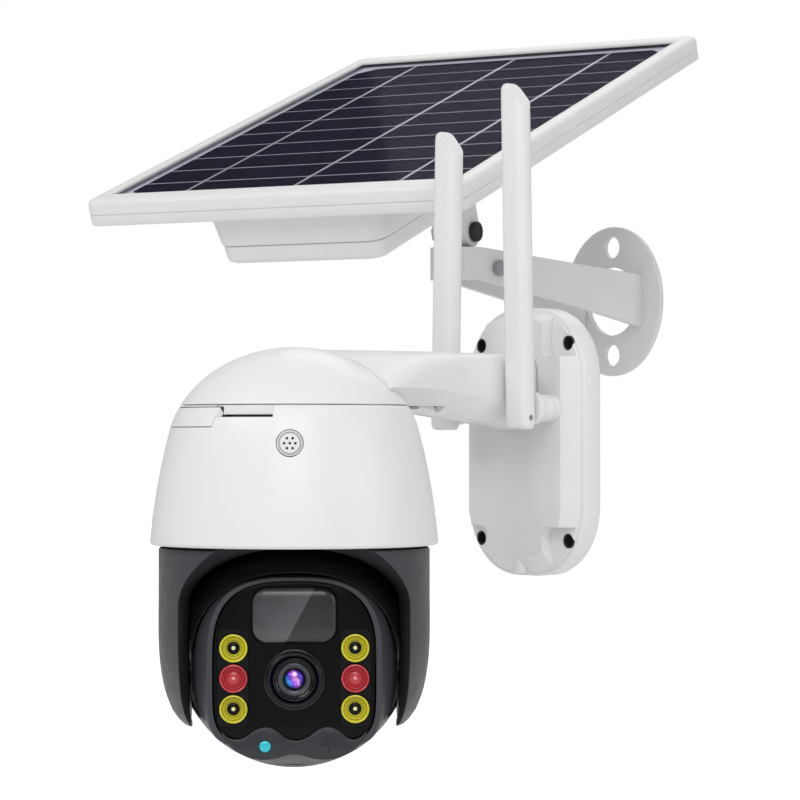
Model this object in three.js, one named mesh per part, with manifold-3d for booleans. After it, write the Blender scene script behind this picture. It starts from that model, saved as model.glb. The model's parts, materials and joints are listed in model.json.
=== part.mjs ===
// A wall-mounted pan and tilt camera with its solar panel unit.
// Millimetres, +Z up, the wall behind both units is normal to Y and the camera reaches out along -Y.
// The origin is the middle of the camera wall plate's back face.
import * as THREE from "three";
import { mergeVertices } from "three/addons/utils/BufferGeometryUtils.js";
import Module from "manifold-3d";

const wasm = await Module();
wasm.setup();

// ---------- driving dimensions ----------
const GAP = 0.35; // running gap between neighbouring pieces
const WALL = 2.4; // moulded wall thickness

const REACH = 128; // wall to the pan axis
const DOME_R = 52.4; // dome radius at its lower rim
const DOME_TOP = 34.8;
const DOME_SEAM = 13.5; // height of the seam between cap and shell
const DOME_RIM = -37.5;
const TILT_Z = -76; // height of the tilt axis
const BALL_R = 42.8; // camera head
const BALL_HALF = 37.4; // half width over the head's side flats
const YOKE_R = 49.6;
const HEAD_PAN = 50; // degrees from straight out of the wall to where the head looks at rest

const PLATE = { width: 64.4, height: 105, corner: 27, rim: 9.7, depth: 16 };
const BOSS = { width: 51, top: 48.5, bottom: -44.7, corner: 19 };
const SCREW = { x: 24.3, z: 38.3, hole: 2.9, pocket: 8.6, floor: 10.6 };
const DUCT = { y: -12.6, radius: 2.6, bore: 1.4 };
const PLATE_HOLLOW = { width: 30, height: 34, corner: 4, z: 24 };
const ARM_TOP = 34.4;

const ANTENNA = { x: 21, axisZ: 13, y: -33, pinZ: 9.1, width: 12, thick: 7.5, lean: 1.2 };
const ANTENNA_PIN = { radius: 0.95, hole: 1.15, half: 5.6 };
const ANTENNA_BOTTOM = 4.7;
const NEAR_TOP = 137.8;
const FAR_TOP = 121.8;

const FACE_Y = -30; // front of the black face, from the pan axis
const LENS_Z = -84.6;
const PIR = { z: -61.7, width: 30, height: 19.6, corner: 5.5 };
const LED = { x: 21.7, white: [-73.4, -95.1], infrared: -84.2, radius: 5.05 };

const GEAR = { module: 0.8, wheel: 60, pinion: 15, backlash: 0.3, height: 2.8, z: -29.6 };

const POST = { x: -155.8, y: 99.1, tiltZ: 95.5 }; // solar bracket's swivel post
const OVAL = {
  back: 203.5, thick: 3, z: 67, halfWidth: 31.6, halfHeight: 35.7,
  middleHole: 16.4, screwHole: 5.3, screwAt: 25.8,
};
const PANEL = { width: 182, length: 256, thick: 11.5, swivel: 19.2, tilt: 20.2 };
const PANEL_AT = { x: -8, y: -14.7, top: 60 }; // panel centre and top face, from the tilt bolt
const BATTERY = { width: 84, x: 5, front: -135.7, back: 80, depth: 13.5, lid: 8.5, wall: 1.5 };

// ---------- materials ----------
const finish = (color, roughness, metalness = 0) =>
  new THREE.MeshStandardMaterial({ color, roughness, metalness });
const whitePlastic = finish("#e3e5e6", 0.35);
const greyPlastic = finish("#4a4b4f", 0.45);
const blackPlastic = finish("#17181b", 0.4);
const faceGloss = finish("#0c0d12", 0.12);
const trimPlastic = finish("#3a3c42", 0.4);
const bracketPaint = finish("#d2d3d5", 0.45);
const frameCoat = finish("#edede8", 0.4);
const steel = finish("#b9bbbe", 0.3, 1);
const brass = finish("#b5974d", 0.35, 1);
const boardGreen = finish("#1f5a37", 0.5);
const glass = finish("#20222a", 0.05);
const smokedLens = finish("#4a4b4f", 0.3);
const cellBlue = finish("#14122e", 0.25);
const yellowCup = finish("#d8d42a", 0.3);
const redCup = finish("#c8323c", 0.3);
const cyanWindow = finish("#19c6d6", 0.2);
const rubber = finish("#222326", 0.7);

// ---------- solid helpers ----------
const rad = THREE.MathUtils.degToRad;

function solid(geometry) {
  const bare = geometry.index ? geometry.toNonIndexed() : geometry.clone();
  bare.deleteAttribute("normal");
  bare.deleteAttribute("uv");
  const merged = mergeVertices(bare, 1e-4);
  const found = [];
  const index = merged.index.array;
  for (let i = 0; i < index.length; i += 3) {
    const [a, b, c] = [index[i], index[i + 1], index[i + 2]];
    if (a !== b && b !== c && c !== a) found.push(a, b, c);
  }
  const mesh = new wasm.Mesh({
    numProp: 3,
    vertProperties: merged.attributes.position.array,
    triVerts: new Uint32Array(found),
  });
  return new wasm.Manifold(mesh);
}

function geometryOf(manifold) {
  const mesh = manifold.getMesh();
  const geometry = new THREE.BufferGeometry();
  geometry.setAttribute("position", new THREE.BufferAttribute(mesh.vertProperties, 3));
  geometry.setIndex(new THREE.BufferAttribute(mesh.triVerts, 1));
  return geometry;
}

function cut(body, ...tools) {
  return geometryOf(tools.reduce((left, tool) => left.subtract(solid(tool)), solid(body)));
}

function join(body, ...others) {
  return geometryOf(others.reduce((left, other) => left.add(solid(other)), solid(body)));
}

function common(body, other) {
  return geometryOf(solid(body).intersect(solid(other)));
}

// A box given by its two corners.
function block([x0, x1], [y0, y1], [z0, z1]) {
  const box = new THREE.BoxGeometry(x1 - x0, y1 - y0, z1 - z0);
  return box.translate((x0 + x1) / 2, (y0 + y1) / 2, (z0 + z1) / 2);
}

// A round bar from one height to another along an axis, through a point.
function rod(radius, [from, to], axis, [x, y, z], segments = 24) {
  const bar = new THREE.CylinderGeometry(radius, radius, to - from, segments);
  bar.translate(0, (from + to) / 2, 0);
  if (axis === "x") bar.rotateZ(-Math.PI / 2);
  if (axis === "z") bar.rotateX(Math.PI / 2);
  return bar.translate(x, y, z);
}

// A profile of [radius, height] points turned about Z. It runs from the bottom up outside.
function turned(profile, segments = 40) {
  const points = profile.map(([radius, height]) => new THREE.Vector2(radius, height));
  return new THREE.LatheGeometry(points, segments).rotateX(Math.PI / 2);
}

// A ring-shaped profile of four corners, turned about Z.
function ring(inner, outer, [z0, z1], segments = 24) {
  return turned([[inner, z0], [outer, z0], [outer, z1], [inner, z1], [inner, z0]], segments);
}

// A flat outline in X and Z, extruded along Y.
function slabXZ(shape, [y0, y1], curveSegments = 8) {
  const slab = new THREE.ExtrudeGeometry(shape, { depth: y1 - y0, bevelEnabled: false, curveSegments });
  return slab.rotateX(Math.PI / 2).translate(0, y1, 0);
}

// A flat outline in X and Y, extruded along Z.
function slabXY(shape, [z0, z1], curveSegments = 8) {
  const slab = new THREE.ExtrudeGeometry(shape, { depth: z1 - z0, bevelEnabled: false, curveSegments });
  return slab.translate(0, 0, z0);
}

// A flat outline in Y and Z, extruded along X.
function slabYZ(shape, [x0, x1], curveSegments = 8) {
  const slab = new THREE.ExtrudeGeometry(shape, { depth: x1 - x0, bevelEnabled: false, curveSegments });
  return slab.rotateX(Math.PI / 2).rotateZ(Math.PI / 2).translate(x0, 0, 0);
}

function roundedRect(width, height, corner, cx = 0, cz = 0) {
  const shape = new THREE.Shape();
  const [x, z] = [width / 2 - corner, height / 2 - corner];
  shape.absarc(cx + x, cz + z, corner, 0, Math.PI / 2);
  shape.absarc(cx - x, cz + z, corner, Math.PI / 2, Math.PI);
  shape.absarc(cx - x, cz - z, corner, Math.PI, 1.5 * Math.PI);
  shape.absarc(cx + x, cz - z, corner, 1.5 * Math.PI, 2 * Math.PI);
  shape.closePath();
  return shape;
}

function polygon(points) {
  return new THREE.Shape(points.map(([x, y]) => new THREE.Vector2(x, y)));
}

// A closed body through rings of equally many points, with flat fans on both ends.
function loft(rings) {
  const count = rings[0].length;
  const middle = (points) => points.reduce((sum, p) => sum.add(p), new THREE.Vector3()).divideScalar(count);
  const corners = [...rings.flat(), middle(rings[0]), middle(rings.at(-1))];
  const faces = [];
  for (let i = 0; i < count; i++) {
    const next = (i + 1) % count;
    for (let level = 0; level + 1 < rings.length; level++) {
      const [low, high] = [level * count, (level + 1) * count];
      faces.push(low + i, low + next, high + next, low + i, high + next, high + i);
    }
    const last = (rings.length - 1) * count;
    faces.push(corners.length - 2, next, i, corners.length - 1, last + i, last + next);
  }
  const geometry = new THREE.BufferGeometry().setFromPoints(corners);
  geometry.setIndex(faces);
  return solid(geometry).volume() > 0 ? geometry : flipped(geometry);
}

function flipped(geometry) {
  const index = geometry.index.array;
  for (let i = 0; i < index.length; i += 3) [index[i], index[i + 1]] = [index[i + 1], index[i]];
  return geometry;
}

// A squared oval in X and Z at one Y: a superellipse between two heights, squarer below than above.
function squaredOval(halfWidth, [bottom, top], y, upperPower, lowerPower, count = 40) {
  const points = [];
  for (let i = 0; i < count; i++) {
    const angle = (2 * Math.PI * i) / count;
    const [c, s] = [Math.cos(angle), Math.sin(angle)];
    const power = s > 0 ? upperPower : lowerPower;
    const x = Math.sign(c) * Math.abs(c) ** (2 / power) * halfWidth;
    const z = Math.sign(s) * Math.abs(s) ** (2 / power) * ((top - bottom) / 2) + (top + bottom) / 2;
    points.push(new THREE.Vector3(x, y, z));
  }
  return points;
}

// ---------- the object ----------
const camera = new THREE.Group();

function add(parent, name, geometry, material) {
  const mesh = new THREE.Mesh(geometry, material);
  mesh.name = name;
  parent.add(mesh);
}

function frameAt(parent, [x, y, z], turnZ = 0) {
  const group = new THREE.Group();
  group.position.set(x, y, z);
  group.rotation.z = rad(turnZ);
  parent.add(group);
  return group;
}

const dome = frameAt(camera, [0, -REACH, 0]);
const head = frameAt(dome, [0, 0, 0], HEAD_PAN);

// ---------- wall plate ----------
function plateRing(width, [bottom, top], corner, y) {
  const outline = roundedRect(width, top - bottom, corner, 0, (top + bottom) / 2).getPoints(7);
  return outline.slice(0, -1).map((p) => new THREE.Vector3(p.x, y, p.y));
}

function wallPlate() {
  const half = PLATE.height / 2;
  const lower = roundedRect(PLATE.width, PLATE.height, PLATE.corner);
  const step = 0.7; // how far the boss's foot stands in from the rim
  const footRing = (y) =>
    plateRing(PLATE.width - 2 * step, [-half + step, half - step], PLATE.corner - step, y);
  const boss = loft([
    footRing(-PLATE.rim + 0.5),
    footRing(-PLATE.rim),
    plateRing(BOSS.width, [BOSS.bottom, BOSS.top], BOSS.corner, -PLATE.depth),
  ]);
  const ductAt = [0, DUCT.y, 0];
  const duct = rod(DUCT.radius, [BOSS.bottom - 7, BOSS.bottom + 2], "z", ductAt, 16);
  const bore = rod(DUCT.bore, [BOSS.bottom - 9, BOSS.bottom + 10], "z", ductAt, 12);
  const body = join(slabXZ(lower, [-PLATE.rim, 0], 7), boss, duct);
  return cut(body, ...screwHoles(), ...plateHollows(), bore);
}

// Each screw hole has a wide pocket around it, open to the front.
function screwHoles() {
  const corners = [-1, 1].flatMap((side) => [-1, 1].map((level) => [side * SCREW.x, 0, level * SCREW.z]));
  return corners.flatMap((place) => [
    rod(SCREW.hole, [-30, 10], "y", place, 12),
    rod(SCREW.pocket, [-30, -SCREW.floor], "y", place, 16),
  ]);
}

// The plate is hollow behind the boss, in two bays.
function plateHollows() {
  const { width, height, corner, z } = PLATE_HOLLOW;
  return [-z, z].map((level) => {
    const outline = roundedRect(width, height, corner, 0, level);
    return slabXZ(outline, [-PLATE.depth + WALL + 1, 5], 3);
  });
}
add(camera, "wall_plate", wallPlate(), whitePlastic);

// ---------- dome cap, shell and arm ----------
// Radius of the dome's outside at a height. Above the waist it is an ellipse, below it a flaring curve.
const WAIST = { z: 5.5, radius: 45.3 };
const FLARE = { z: -34, slope: 1.45 }; // the flare's lower end, and how steeply it leaves the waist
const CAP = { z: -5, radius: 47, height: DOME_TOP + 5, steps: 7 };
function domeProfile(inset, fromZ, toZ, steps) {
  const points = [];
  for (let i = 0; i <= steps; i++) {
    const z = fromZ + ((toZ - fromZ) * i) / steps;
    points.push([Math.max(domeRadius(z) - inset, 0), z]);
  }
  return points;
}

function domeRadius(z) {
  if (z >= WAIST.z) return CAP.radius * Math.sqrt(Math.max(0, 1 - ((z - CAP.z) / CAP.height) ** 2));
  const t = (WAIST.z - z) / (WAIST.z - FLARE.z);
  return WAIST.radius + (DOME_R - WAIST.radius) * (FLARE.slope * t - (FLARE.slope - 1) * t * t);
}

function domeShell() {
  const outside = domeProfile(0, DOME_RIM + 2, DOME_SEAM - GAP, 7);
  const inside = domeProfile(WALL, DOME_RIM + 2, DOME_SEAM - GAP, 3).reverse();
  const lip = [[DOME_R - WALL + 0.2, DOME_RIM], [DOME_R - 0.6, DOME_RIM]];
  const shell = turned([...lip, ...outside, ...inside, lip[0]], 36);
  return cut(shell, flapBlock(GAP, 60), badgeHole());
}

// The solid above the seam that the cap and the arm's root share, and its hollow.
function capSolid(inset, fromZ, top, segments = 36) {
  const side = [];
  const start = Math.asin((fromZ - CAP.z) / CAP.height);
  for (let i = 0; i <= CAP.steps; i++) {
    const lift = start + ((Math.PI / 2 - start) * i) / CAP.steps;
    const radius = i === CAP.steps ? 0 : (CAP.radius - inset) * Math.cos(lift);
    side.push([radius, CAP.z + (top - CAP.z) * Math.sin(lift)]);
  }
  return turned([[0, side[0][1]], ...side], segments);
}

function capShell() {
  const hollow = capSolid(WALL, DOME_SEAM - 6, DOME_TOP - WALL, 24);
  return cut(capSolid(0, DOME_SEAM, DOME_TOP), hollow);
}

// The arm's root takes the part of the cap behind this V-shaped line.
const ROOT = { tip: 4, side: 60, sideY: 27, back: 130 };
function rootRegion(shift) {
  const { tip, side, sideY, back } = ROOT;
  const right = [[0, tip + shift], [side, sideY + shift], [side, back]];
  return slabXY(polygon([...right, [-side, back], [-side, sideY + shift]]), [-10, 60]);
}

function domeCap() {
  const front = cut(capShell(), rootRegion(-GAP));
  return cut(front, block([-70, 70], [30, 70], [-20, 60]));
}

// Stations from the wall plate to the dome: distance from the wall, half width, side edge and keel heights,
// and how far the section above its side edge has turned from a box into the dome's own curve.
const ARM_STATIONS = [
  [16.4, 13.2, 12.7, 4.6, 0],
  [24, 13.4, 14.4, 6.0, 0],
  [40, 14.6, 16.4, 7.8, 0],
  [58, 17.6, 18.2, 10.2, 0],
  [76, 22.6, 19.3, 12.2, 0.25],
  [92, 28.4, 19.8, 13.2, 0.65],
  [108, 34.2, 19.8, 13.85, 1],
  [118, 35.4, 20, 14, 1],
  [124, 35.6, 20, 14, 1],
];
const KEEL_SHARE = 0.55; // width of the flat keel, as a share of the arm's
const KEEL_WALL = 1.4; // beside the recess that the cover closes

// One section: a keel-shaped underside, and above the side edges a rounded box or the dome's own curve.
function armSection([out, half, edge, keel, curve]) {
  const steps = 6;
  const rise = ARM_TOP - CAP.z;
  const lift = Math.asin((edge - CAP.z) / rise);
  const right = [[half * KEEL_SHARE, keel]];
  for (let i = 0; i < steps; i++) {
    const [box, arc] = [(Math.PI / 2) * (i / steps), lift + (Math.PI / 2 - lift) * (i / steps)];
    const boxed = [half * Math.cos(box) ** 0.4, edge + (ARM_TOP - edge) * Math.sin(box) ** 0.4];
    const domed = [(half * Math.cos(arc)) / Math.cos(lift), CAP.z + rise * Math.sin(arc)];
    right.push(boxed.map((value, axis) => value + (domed[axis] - value) * curve));
  }
  const left = right.map(([x, z]) => [-x, z]).reverse();
  const outline = [...right, [0, ARM_TOP], ...left];
  return outline.map(([x, z]) => new THREE.Vector3(x, REACH - out, z));
}

// The arm's body runs on into the cap's wall, and the cap's root stands behind the seam.
function armShell() {
  const root = common(capShell(), rootRegion(0));
  const inDome = capSolid(WALL * 0.5, DOME_SEAM - 20, DOME_TOP - WALL * 0.5);
  const boom = common(cut(loft(ARM_STATIONS.map(armSection)), inDome), rootRegion(0));
  const aboveShell = cut(join(root, boom), block([-70, 70], [-60, 62], [-60, DOME_SEAM]));
  return cut(aboveShell, armHollow());
}

// The recess in the arm's underside, closed by the cover.
function armHollow() {
  const top = ARM_TOP - 2 * WALL;
  const sections = ARM_STATIONS.map(([out, half], i) => {
    const inner = half * KEEL_SHARE - KEEL_WALL;
    const y = REACH - out - (i === 0 ? WALL : 0);
    const corners = [[-inner, -30], [inner, -30], [inner, top], [-inner, top]];
    return corners.map(([x, z]) => new THREE.Vector3(x, y, z));
  });
  return common(loft(sections), block([-60, 60], [32, 120], [-40, top]));
}

function armCover() {
  const sections = ARM_STATIONS.slice(0, 5).map(([out, half, , keel], i) => {
    const inner = half * KEEL_SHARE - KEEL_WALL - GAP;
    const y = REACH - out + (i === 0 ? -WALL - GAP : 0);
    const [low, high] = [keel + 0.2, keel + 2.2];
    const corners = [[-inner, low], [inner, low], [inner, high], [-inner, high]];
    return corners.map(([x, z]) => new THREE.Vector3(x, y, z));
  });
  return loft(sections);
}

add(dome, "dome_cap", domeCap(), whitePlastic);
add(dome, "arm_shell", armShell(), whitePlastic);
add(dome, "arm_cover", armCover(), whitePlastic);

// ---------- card flap, card reader and reset button ----------
const FLAP = { turn: -17, half: 20, bottom: 5.5, top: DOME_SEAM - 1.1 };

function flapBlock(grow, depth) {
  const [half, bottom, top] = [FLAP.half + grow, FLAP.bottom - grow, FLAP.top + grow];
  return block([-half, half], [-depth, -33], [bottom, top]).rotateZ(rad(FLAP.turn));
}

// The flap's top edge is bevelled on the inside, so that it swings out past the shell's edge.
function cardFlap() {
  const edge = domeRadius(FLAP.top);
  const inner = edge - WALL - 1.5;
  const slope = 1.7;
  const bevel = turned([
    [inner, FLAP.top - slope * (edge - inner)], [edge, FLAP.top], [edge, FLAP.top + 1],
    [inner, FLAP.top + 1], [inner, FLAP.top - slope * (edge - inner)],
  ], 36);
  return cut(common(domeShellBand(), flapBlock(0, 60)), bevel);
}

function domeShellBand() {
  const outside = domeProfile(0, FLAP.bottom - 2, FLAP.top + 2, 4);
  const inside = domeProfile(WALL, FLAP.bottom - 2, FLAP.top + 2, 3).reverse();
  return turned([...outside, ...inside, outside[0]], 36);
}

const flapFrame = frameAt(dome, [0, 0, 0], FLAP.turn);
const BUTTON = { x: 6.5, z: 8.2, radius: 1.8 };
const buttonAt = [BUTTON.x, 0, BUTTON.z];
function cardReader() {
  const body = block([-11, 11], [-35.5, -28], [4.5, 12]);
  const slot = block([-8, 2], [-36, -30], [8.6, 9.6]);
  return cut(body, slot, rod(BUTTON.radius + 0.3, [-36, -27], "y", buttonAt, 14));
}
add(dome, "card_flap", cardFlap(), whitePlastic);
add(flapFrame, "card_reader", cardReader(), blackPlastic);
add(flapFrame, "reset_button", rod(BUTTON.radius, [-36.4, -29.5], "y", buttonAt, 14), steel);

// ---------- badge-sized speaker grille and speaker ----------
const BADGE_TURN = 48;
const BADGE = { z: -0.4, radius: 4.6 };
function badgeHole() {
  return rod(BADGE.radius + GAP, [-60, -40], "y", [0, 0, BADGE.z], 20).rotateZ(rad(BADGE_TURN));
}

// Six sound holes stand in a circle.
function speakerGrille() {
  const disc = rod(BADGE.radius, [-47.2, -44.6], "y", [0, 0, BADGE.z], 20);
  const circle = 2.4;
  const holes = [0, 1, 2, 3, 4, 5].map((i) => {
    const angle = (Math.PI / 3) * i;
    const place = [circle * Math.cos(angle), 0, BADGE.z + circle * Math.sin(angle)];
    return rod(0.55, [-50, -40], "y", place, 8);
  });
  return cut(disc, ...holes);
}
const badgeFrame = frameAt(dome, [0, 0, 0], BADGE_TURN);
add(badgeFrame, "speaker_grille", speakerGrille(), whitePlastic);
add(badgeFrame, "speaker", rod(9, [-39.6, -33.6], "y", [0, 0, BADGE.z], 24), blackPlastic);
add(dome, "dome_shell", domeShell(), whitePlastic);

// ---------- pan drive ----------
const WHEEL_R = (GEAR.module * GEAR.wheel) / 2;
const PINION_R = (GEAR.module * GEAR.pinion) / 2;
const CENTRES = WHEEL_R + PINION_R + 0.1;

// A spur gear's outline with involute flanks; one tooth points along +Y.
function gearOutline(teeth) {
  const pitch = (GEAR.module * teeth) / 2;
  const base = pitch * Math.cos(rad(20));
  const [root, tip] = [pitch - 1.25 * GEAR.module, pitch + 0.9 * GEAR.module];
  const involute = (radius) => {
    const slope = Math.sqrt(Math.max(0, (radius / base) ** 2 - 1));
    return slope - Math.atan(slope);
  };
  const halfAtPitch = (Math.PI / teeth - GEAR.backlash / pitch) / 2;
  const radii = [Math.max(base, root), pitch, tip];
  const flank = radii.map((radius) => [radius, halfAtPitch + involute(pitch) - involute(radius)]);
  const points = [];
  for (let tooth = 0; tooth < teeth; tooth++) {
    const centre = Math.PI / 2 + (2 * Math.PI * tooth) / teeth;
    const place = ([radius, angle], side) =>
      [radius * Math.cos(centre + side * angle), radius * Math.sin(centre + side * angle)];
    points.push(place([root, flank[0][1]], -1));
    flank.forEach((p) => points.push(place(p, -1)));
    flank.toReversed().forEach((p) => points.push(place(p, 1)));
    points.push(place([root, flank[0][1]], 1));
  }
  return polygon(points);
}

function panWheel() {
  const disc = slabXY(gearOutline(GEAR.wheel), [GEAR.z, GEAR.z + GEAR.height]);
  return cut(disc, rod(13, [GEAR.z - 1, GEAR.z + 5], "z", [0, 0, 0], 32));
}

function panPinion() {
  const gear = slabXY(gearOutline(GEAR.pinion), [GEAR.z + 0.2, GEAR.z + GEAR.height]);
  return cut(gear, rod(1.5, [GEAR.z - 1, GEAR.z + 5], "z", [0, 0, 0], 12)).translate(0, CENTRES, 0);
}

const DECK = { z0: -25.6, z1: -23 };
function panDeck() {
  const deck = rod(47, [DECK.z0, DECK.z1], "z", [0, 0, 0], 44);
  const bore = rod(15.6, [-40, 0], "z", [0, 0, 0], 32);
  return cut(deck, bore, rod(4.2, [-40, 0], "z", [0, CENTRES, 0], 16));
}

function panMotor() {
  const body = rod(13.2, [DECK.z1 + GAP, -6], "z", [0, CENTRES - 1, 0], 24);
  const shaft = rod(1.2, [GEAR.z + 0.4, -15], "z", [0, CENTRES, 0], 12);
  return join(body, shaft);
}
add(head, "pan_deck", panDeck(), blackPlastic);
add(head, "pan_bearing", ring(10.4, 15.2, [-25.2, -20.2]), steel);
add(head, "pan_motor", panMotor(), steel);
add(head, "pan_pinion", panPinion(), brass);
add(head, "pan_wheel", panWheel(), blackPlastic);
add(dome, "main_board", block([-27, 27], [-20, 20], [0.5, 2.1]), boardGreen);

// ---------- yoke ----------
// The opening between the ears: an elliptical crown above sides that draw in towards the ears' tips.
const ARCH = { z: -58.6, knee: -92, tip: -103.2, draw: 0.9, roomHalf: 38, roomTop: -32.6 };
// Its depth, half width and rise at each station. It widens to the front, which bevels the ears.
const ARCH_STATIONS = [
  [14, 38, 19.5],
  [-14, 38, 19.5],
  [-27.2, 41.5, 21],
  [-40, 44.5, 25.5],
  [-70, 51, 35],
];
const BACK_WALL_Z = -90; // lower edge of the wall behind the head
const BUSH = { radius: 5.1, flange: 8.4, bore: 3.1 };

function archRing([y, half, rise]) {
  const tipHalf = half - ARCH.draw;
  const side = [[tipHalf, -130], [tipHalf, ARCH.tip], [half, ARCH.knee]];
  const crown = [];
  const steps = 14;
  for (let i = 0; i <= steps; i++) {
    const angle = (Math.PI * i) / steps;
    crown.push([half * Math.cos(angle), ARCH.z + rise * Math.sin(angle)]);
  }
  const left = side.map(([x, z]) => [-x, z]).reverse();
  return [...side, ...crown, ...left].map(([x, z]) => new THREE.Vector3(x, y, z));
}

// The round room behind the arch that the head turns in.
function headRoom() {
  const room = new THREE.SphereGeometry(BALL_R + 2.4, 28, 18).rotateX(Math.PI / 2).translate(0, 0, TILT_Z);
  return common(room, block([-ARCH.roomHalf, ARCH.roomHalf], [-60, 60], [-140, ARCH.roomTop]));
}

function yoke() {
  const outside = turned([
    [0, ARCH.tip], [38.6, ARCH.tip], [41.6, -101.3], [44.6, -97.4], [47.2, -90.5], [48.9, -81.5],
    [YOKE_R, -71], [YOKE_R, -38.2], [46.4, -38.2], [46.4, -30], [0, -30],
  ], 40);
  const hub = rod(9.9, [-31, -18], "z", [0, 0, 0], 28);
  const below = block([-ARCH.roomHalf, ARCH.roomHalf], [0, 70], [-130, BACK_WALL_Z]);
  const opened = cut(outside, loft(ARCH_STATIONS.map(archRing)), headRoom(), below);
  const passage = rod(7, [-60, 0], "z", [0, 0, 0], 20);
  const pivots = rod(BUSH.radius + 0.3, [-46.4, 46.4], "x", [0, 0, TILT_Z], 20);
  const seats = rod(BUSH.flange + 0.4, [-41.5, 41.5], "x", [0, 0, TILT_Z], 24);
  return cut(join(opened, hub), passage, pivots, seats);
}

// The bush is a flanged ring in the ear; the shaft turns in it.
function tiltBush(side) {
  const body = join(
    rod(BUSH.radius, [39.4, 46], "x", [0, 0, TILT_Z], 20),
    rod(BUSH.flange, [38.6, 41.2], "x", [0, 0, TILT_Z], 24),
  );
  const bush = cut(body, rod(BUSH.bore, [30, 50], "x", [0, 0, TILT_Z], 20));
  return side < 0 ? bush.rotateZ(Math.PI) : bush;
}
add(head, "yoke", yoke(), greyPlastic);
add(head, "tilt_bush_left", tiltBush(-1), blackPlastic);
add(head, "tilt_bush_right", tiltBush(1), blackPlastic);

// ---------- camera head ----------
const FRONT_BACK = -13; // where the front shell meets the rear shell
const BEZEL = [
  { y: FRONT_BACK, half: BALL_HALF - 0.2, bottom: -116.6, top: -46.9, powers: [2.3, 2.3] },
  { y: -21, half: 35.8, bottom: -113.6, top: -47.1, powers: [2.5, 2.7] },
  { y: -26.6, half: 33.4, bottom: -111, top: -47.5, powers: [2.7, 3.8] },
  { y: FACE_Y - 0.4, half: 31.2, bottom: -109, top: -48.1, powers: [2.9, 5.5] },
];
const bezelRing = ({ y, half, bottom, top, powers }, inset, toY = y) =>
  squaredOval(half - inset, [bottom + inset, top - inset], toY, ...powers);
const FACE = { half: 28.9, bottom: -106.5, top: -49.8, powers: [2.9, 6] };
const faceOutline = (grow, y) =>
  squaredOval(FACE.half + grow, [FACE.bottom - grow, FACE.top + grow], y, ...FACE.powers);

// The front shell is a cup that tapers to the bezel around the face, with a ledge the face rests on.
function frontShell() {
  const hollow = loft(BEZEL.map((station, i) => bezelRing(station, WALL, i ? station.y : FRONT_BACK + 5)));
  const seat = loft([faceOutline(GAP, FACE_Y - 8), faceOutline(GAP, FACE_Y + 1.8)]);
  const window = loft([faceOutline(-0.4, FACE_Y - 8), faceOutline(-0.4, FACE_Y + 8)]);
  return cut(loft(BEZEL.map((station) => bezelRing(station, 0))), hollow, seat, window);
}

function ballSolid(radius, half, segments = 28) {
  const ball = new THREE.SphereGeometry(radius, segments, segments / 2).rotateX(Math.PI / 2);
  return common(ball.translate(0, 0, TILT_Z), block([-half, half], [-60, 60], [-140, 0]));
}

// The rear shell is the ball without the front shell's seat; above the seat it reaches forward as a visor.
function rearShell() {
  const behind = FRONT_BACK + GAP;
  const tunnel = loft([bezelRing(BEZEL[0], -GAP, -60), bezelRing(BEZEL[0], -GAP, behind)]);
  const seat = loft(BEZEL.map((station, i) => bezelRing(station, -GAP, i ? station.y : behind)));
  const hollow = ballSolid(BALL_R - WALL, BALL_HALF - WALL, 18);
  const chin = block([-60, 60], [-60, behind], [-140, TILT_Z]);
  const shell = cut(ballSolid(BALL_R, BALL_HALF), hollow, seat, tunnel, chin);
  return cut(shell, rod(3.5, [-50, 50], "x", [0, 0, TILT_Z], 16));
}
add(head, "head_front_shell", frontShell(), greyPlastic);
add(head, "head_rear_shell", rearShell(), blackPlastic);

function facePanel() {
  const panel = loft([faceOutline(0, FACE_Y), faceOutline(0, FACE_Y + 1.5)]);
  const pirHole = roundedRect(PIR.width + 2 * GAP, PIR.height + 2 * GAP, PIR.corner, 0, PIR.z);
  const lensHole = rod(9.4, [-40, -20], "y", [0, 0, LENS_Z], 28);
  const lampHoles = lampPlaces().map(([x, z]) => rod(LED.radius + GAP, [-40, -20], "y", [x, 0, z], 20));
  return cut(panel, slabXZ(pirHole, [-40, -20], 4), lensHole, ...lampHoles);
}

function lampPlaces() {
  const heights = [LED.white[0], LED.infrared, LED.white[1]];
  return [-1, 1].flatMap((side) => heights.map((z) => [side * LED.x, z]));
}
add(head, "face_panel", facePanel(), faceGloss);

// A reflector cup with the lamp's small lens standing in it, opening towards -Y.
function lampCup(x, z) {
  const cup = turned([
    [0, 0], [LED.radius - 0.5, 0], [LED.radius, 4.6], [LED.radius - 0.7, 4.6],
    [2.2, 2.6], [1.6, 3.8], [0, 4.2],
  ], 14);
  return cup.rotateX(Math.PI / 2).translate(x, FACE_Y + 3.9, z);
}

lampPlaces().forEach(([x, z], i) => {
  const sideName = x < 0 ? "left" : "right";
  const level = ["upper", "middle", "lower"][i % 3];
  const infrared = i % 3 === 1;
  const name = infrared ? `infrared_lamp_${sideName}` : `white_lamp_${sideName}_${level}`;
  add(head, name, lampCup(x, z), infrared ? redCup : yellowCup);
});

function pirLens() {
  const ringAt = (shrink, y) =>
    roundedRect(PIR.width - shrink, PIR.height - shrink, PIR.corner - shrink / 2, 0, PIR.z)
      .getPoints(5).slice(0, -1).map((p) => new THREE.Vector3(p.x, y, p.y));
  const levels = [[0, 1.5], [0, -0.6], [3, -1.6], [8, -2.2]];
  return loft(levels.map(([shrink, depth]) => ringAt(shrink, FACE_Y + depth)));
}
add(head, "pir_lens", pirLens(), smokedLens);

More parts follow.
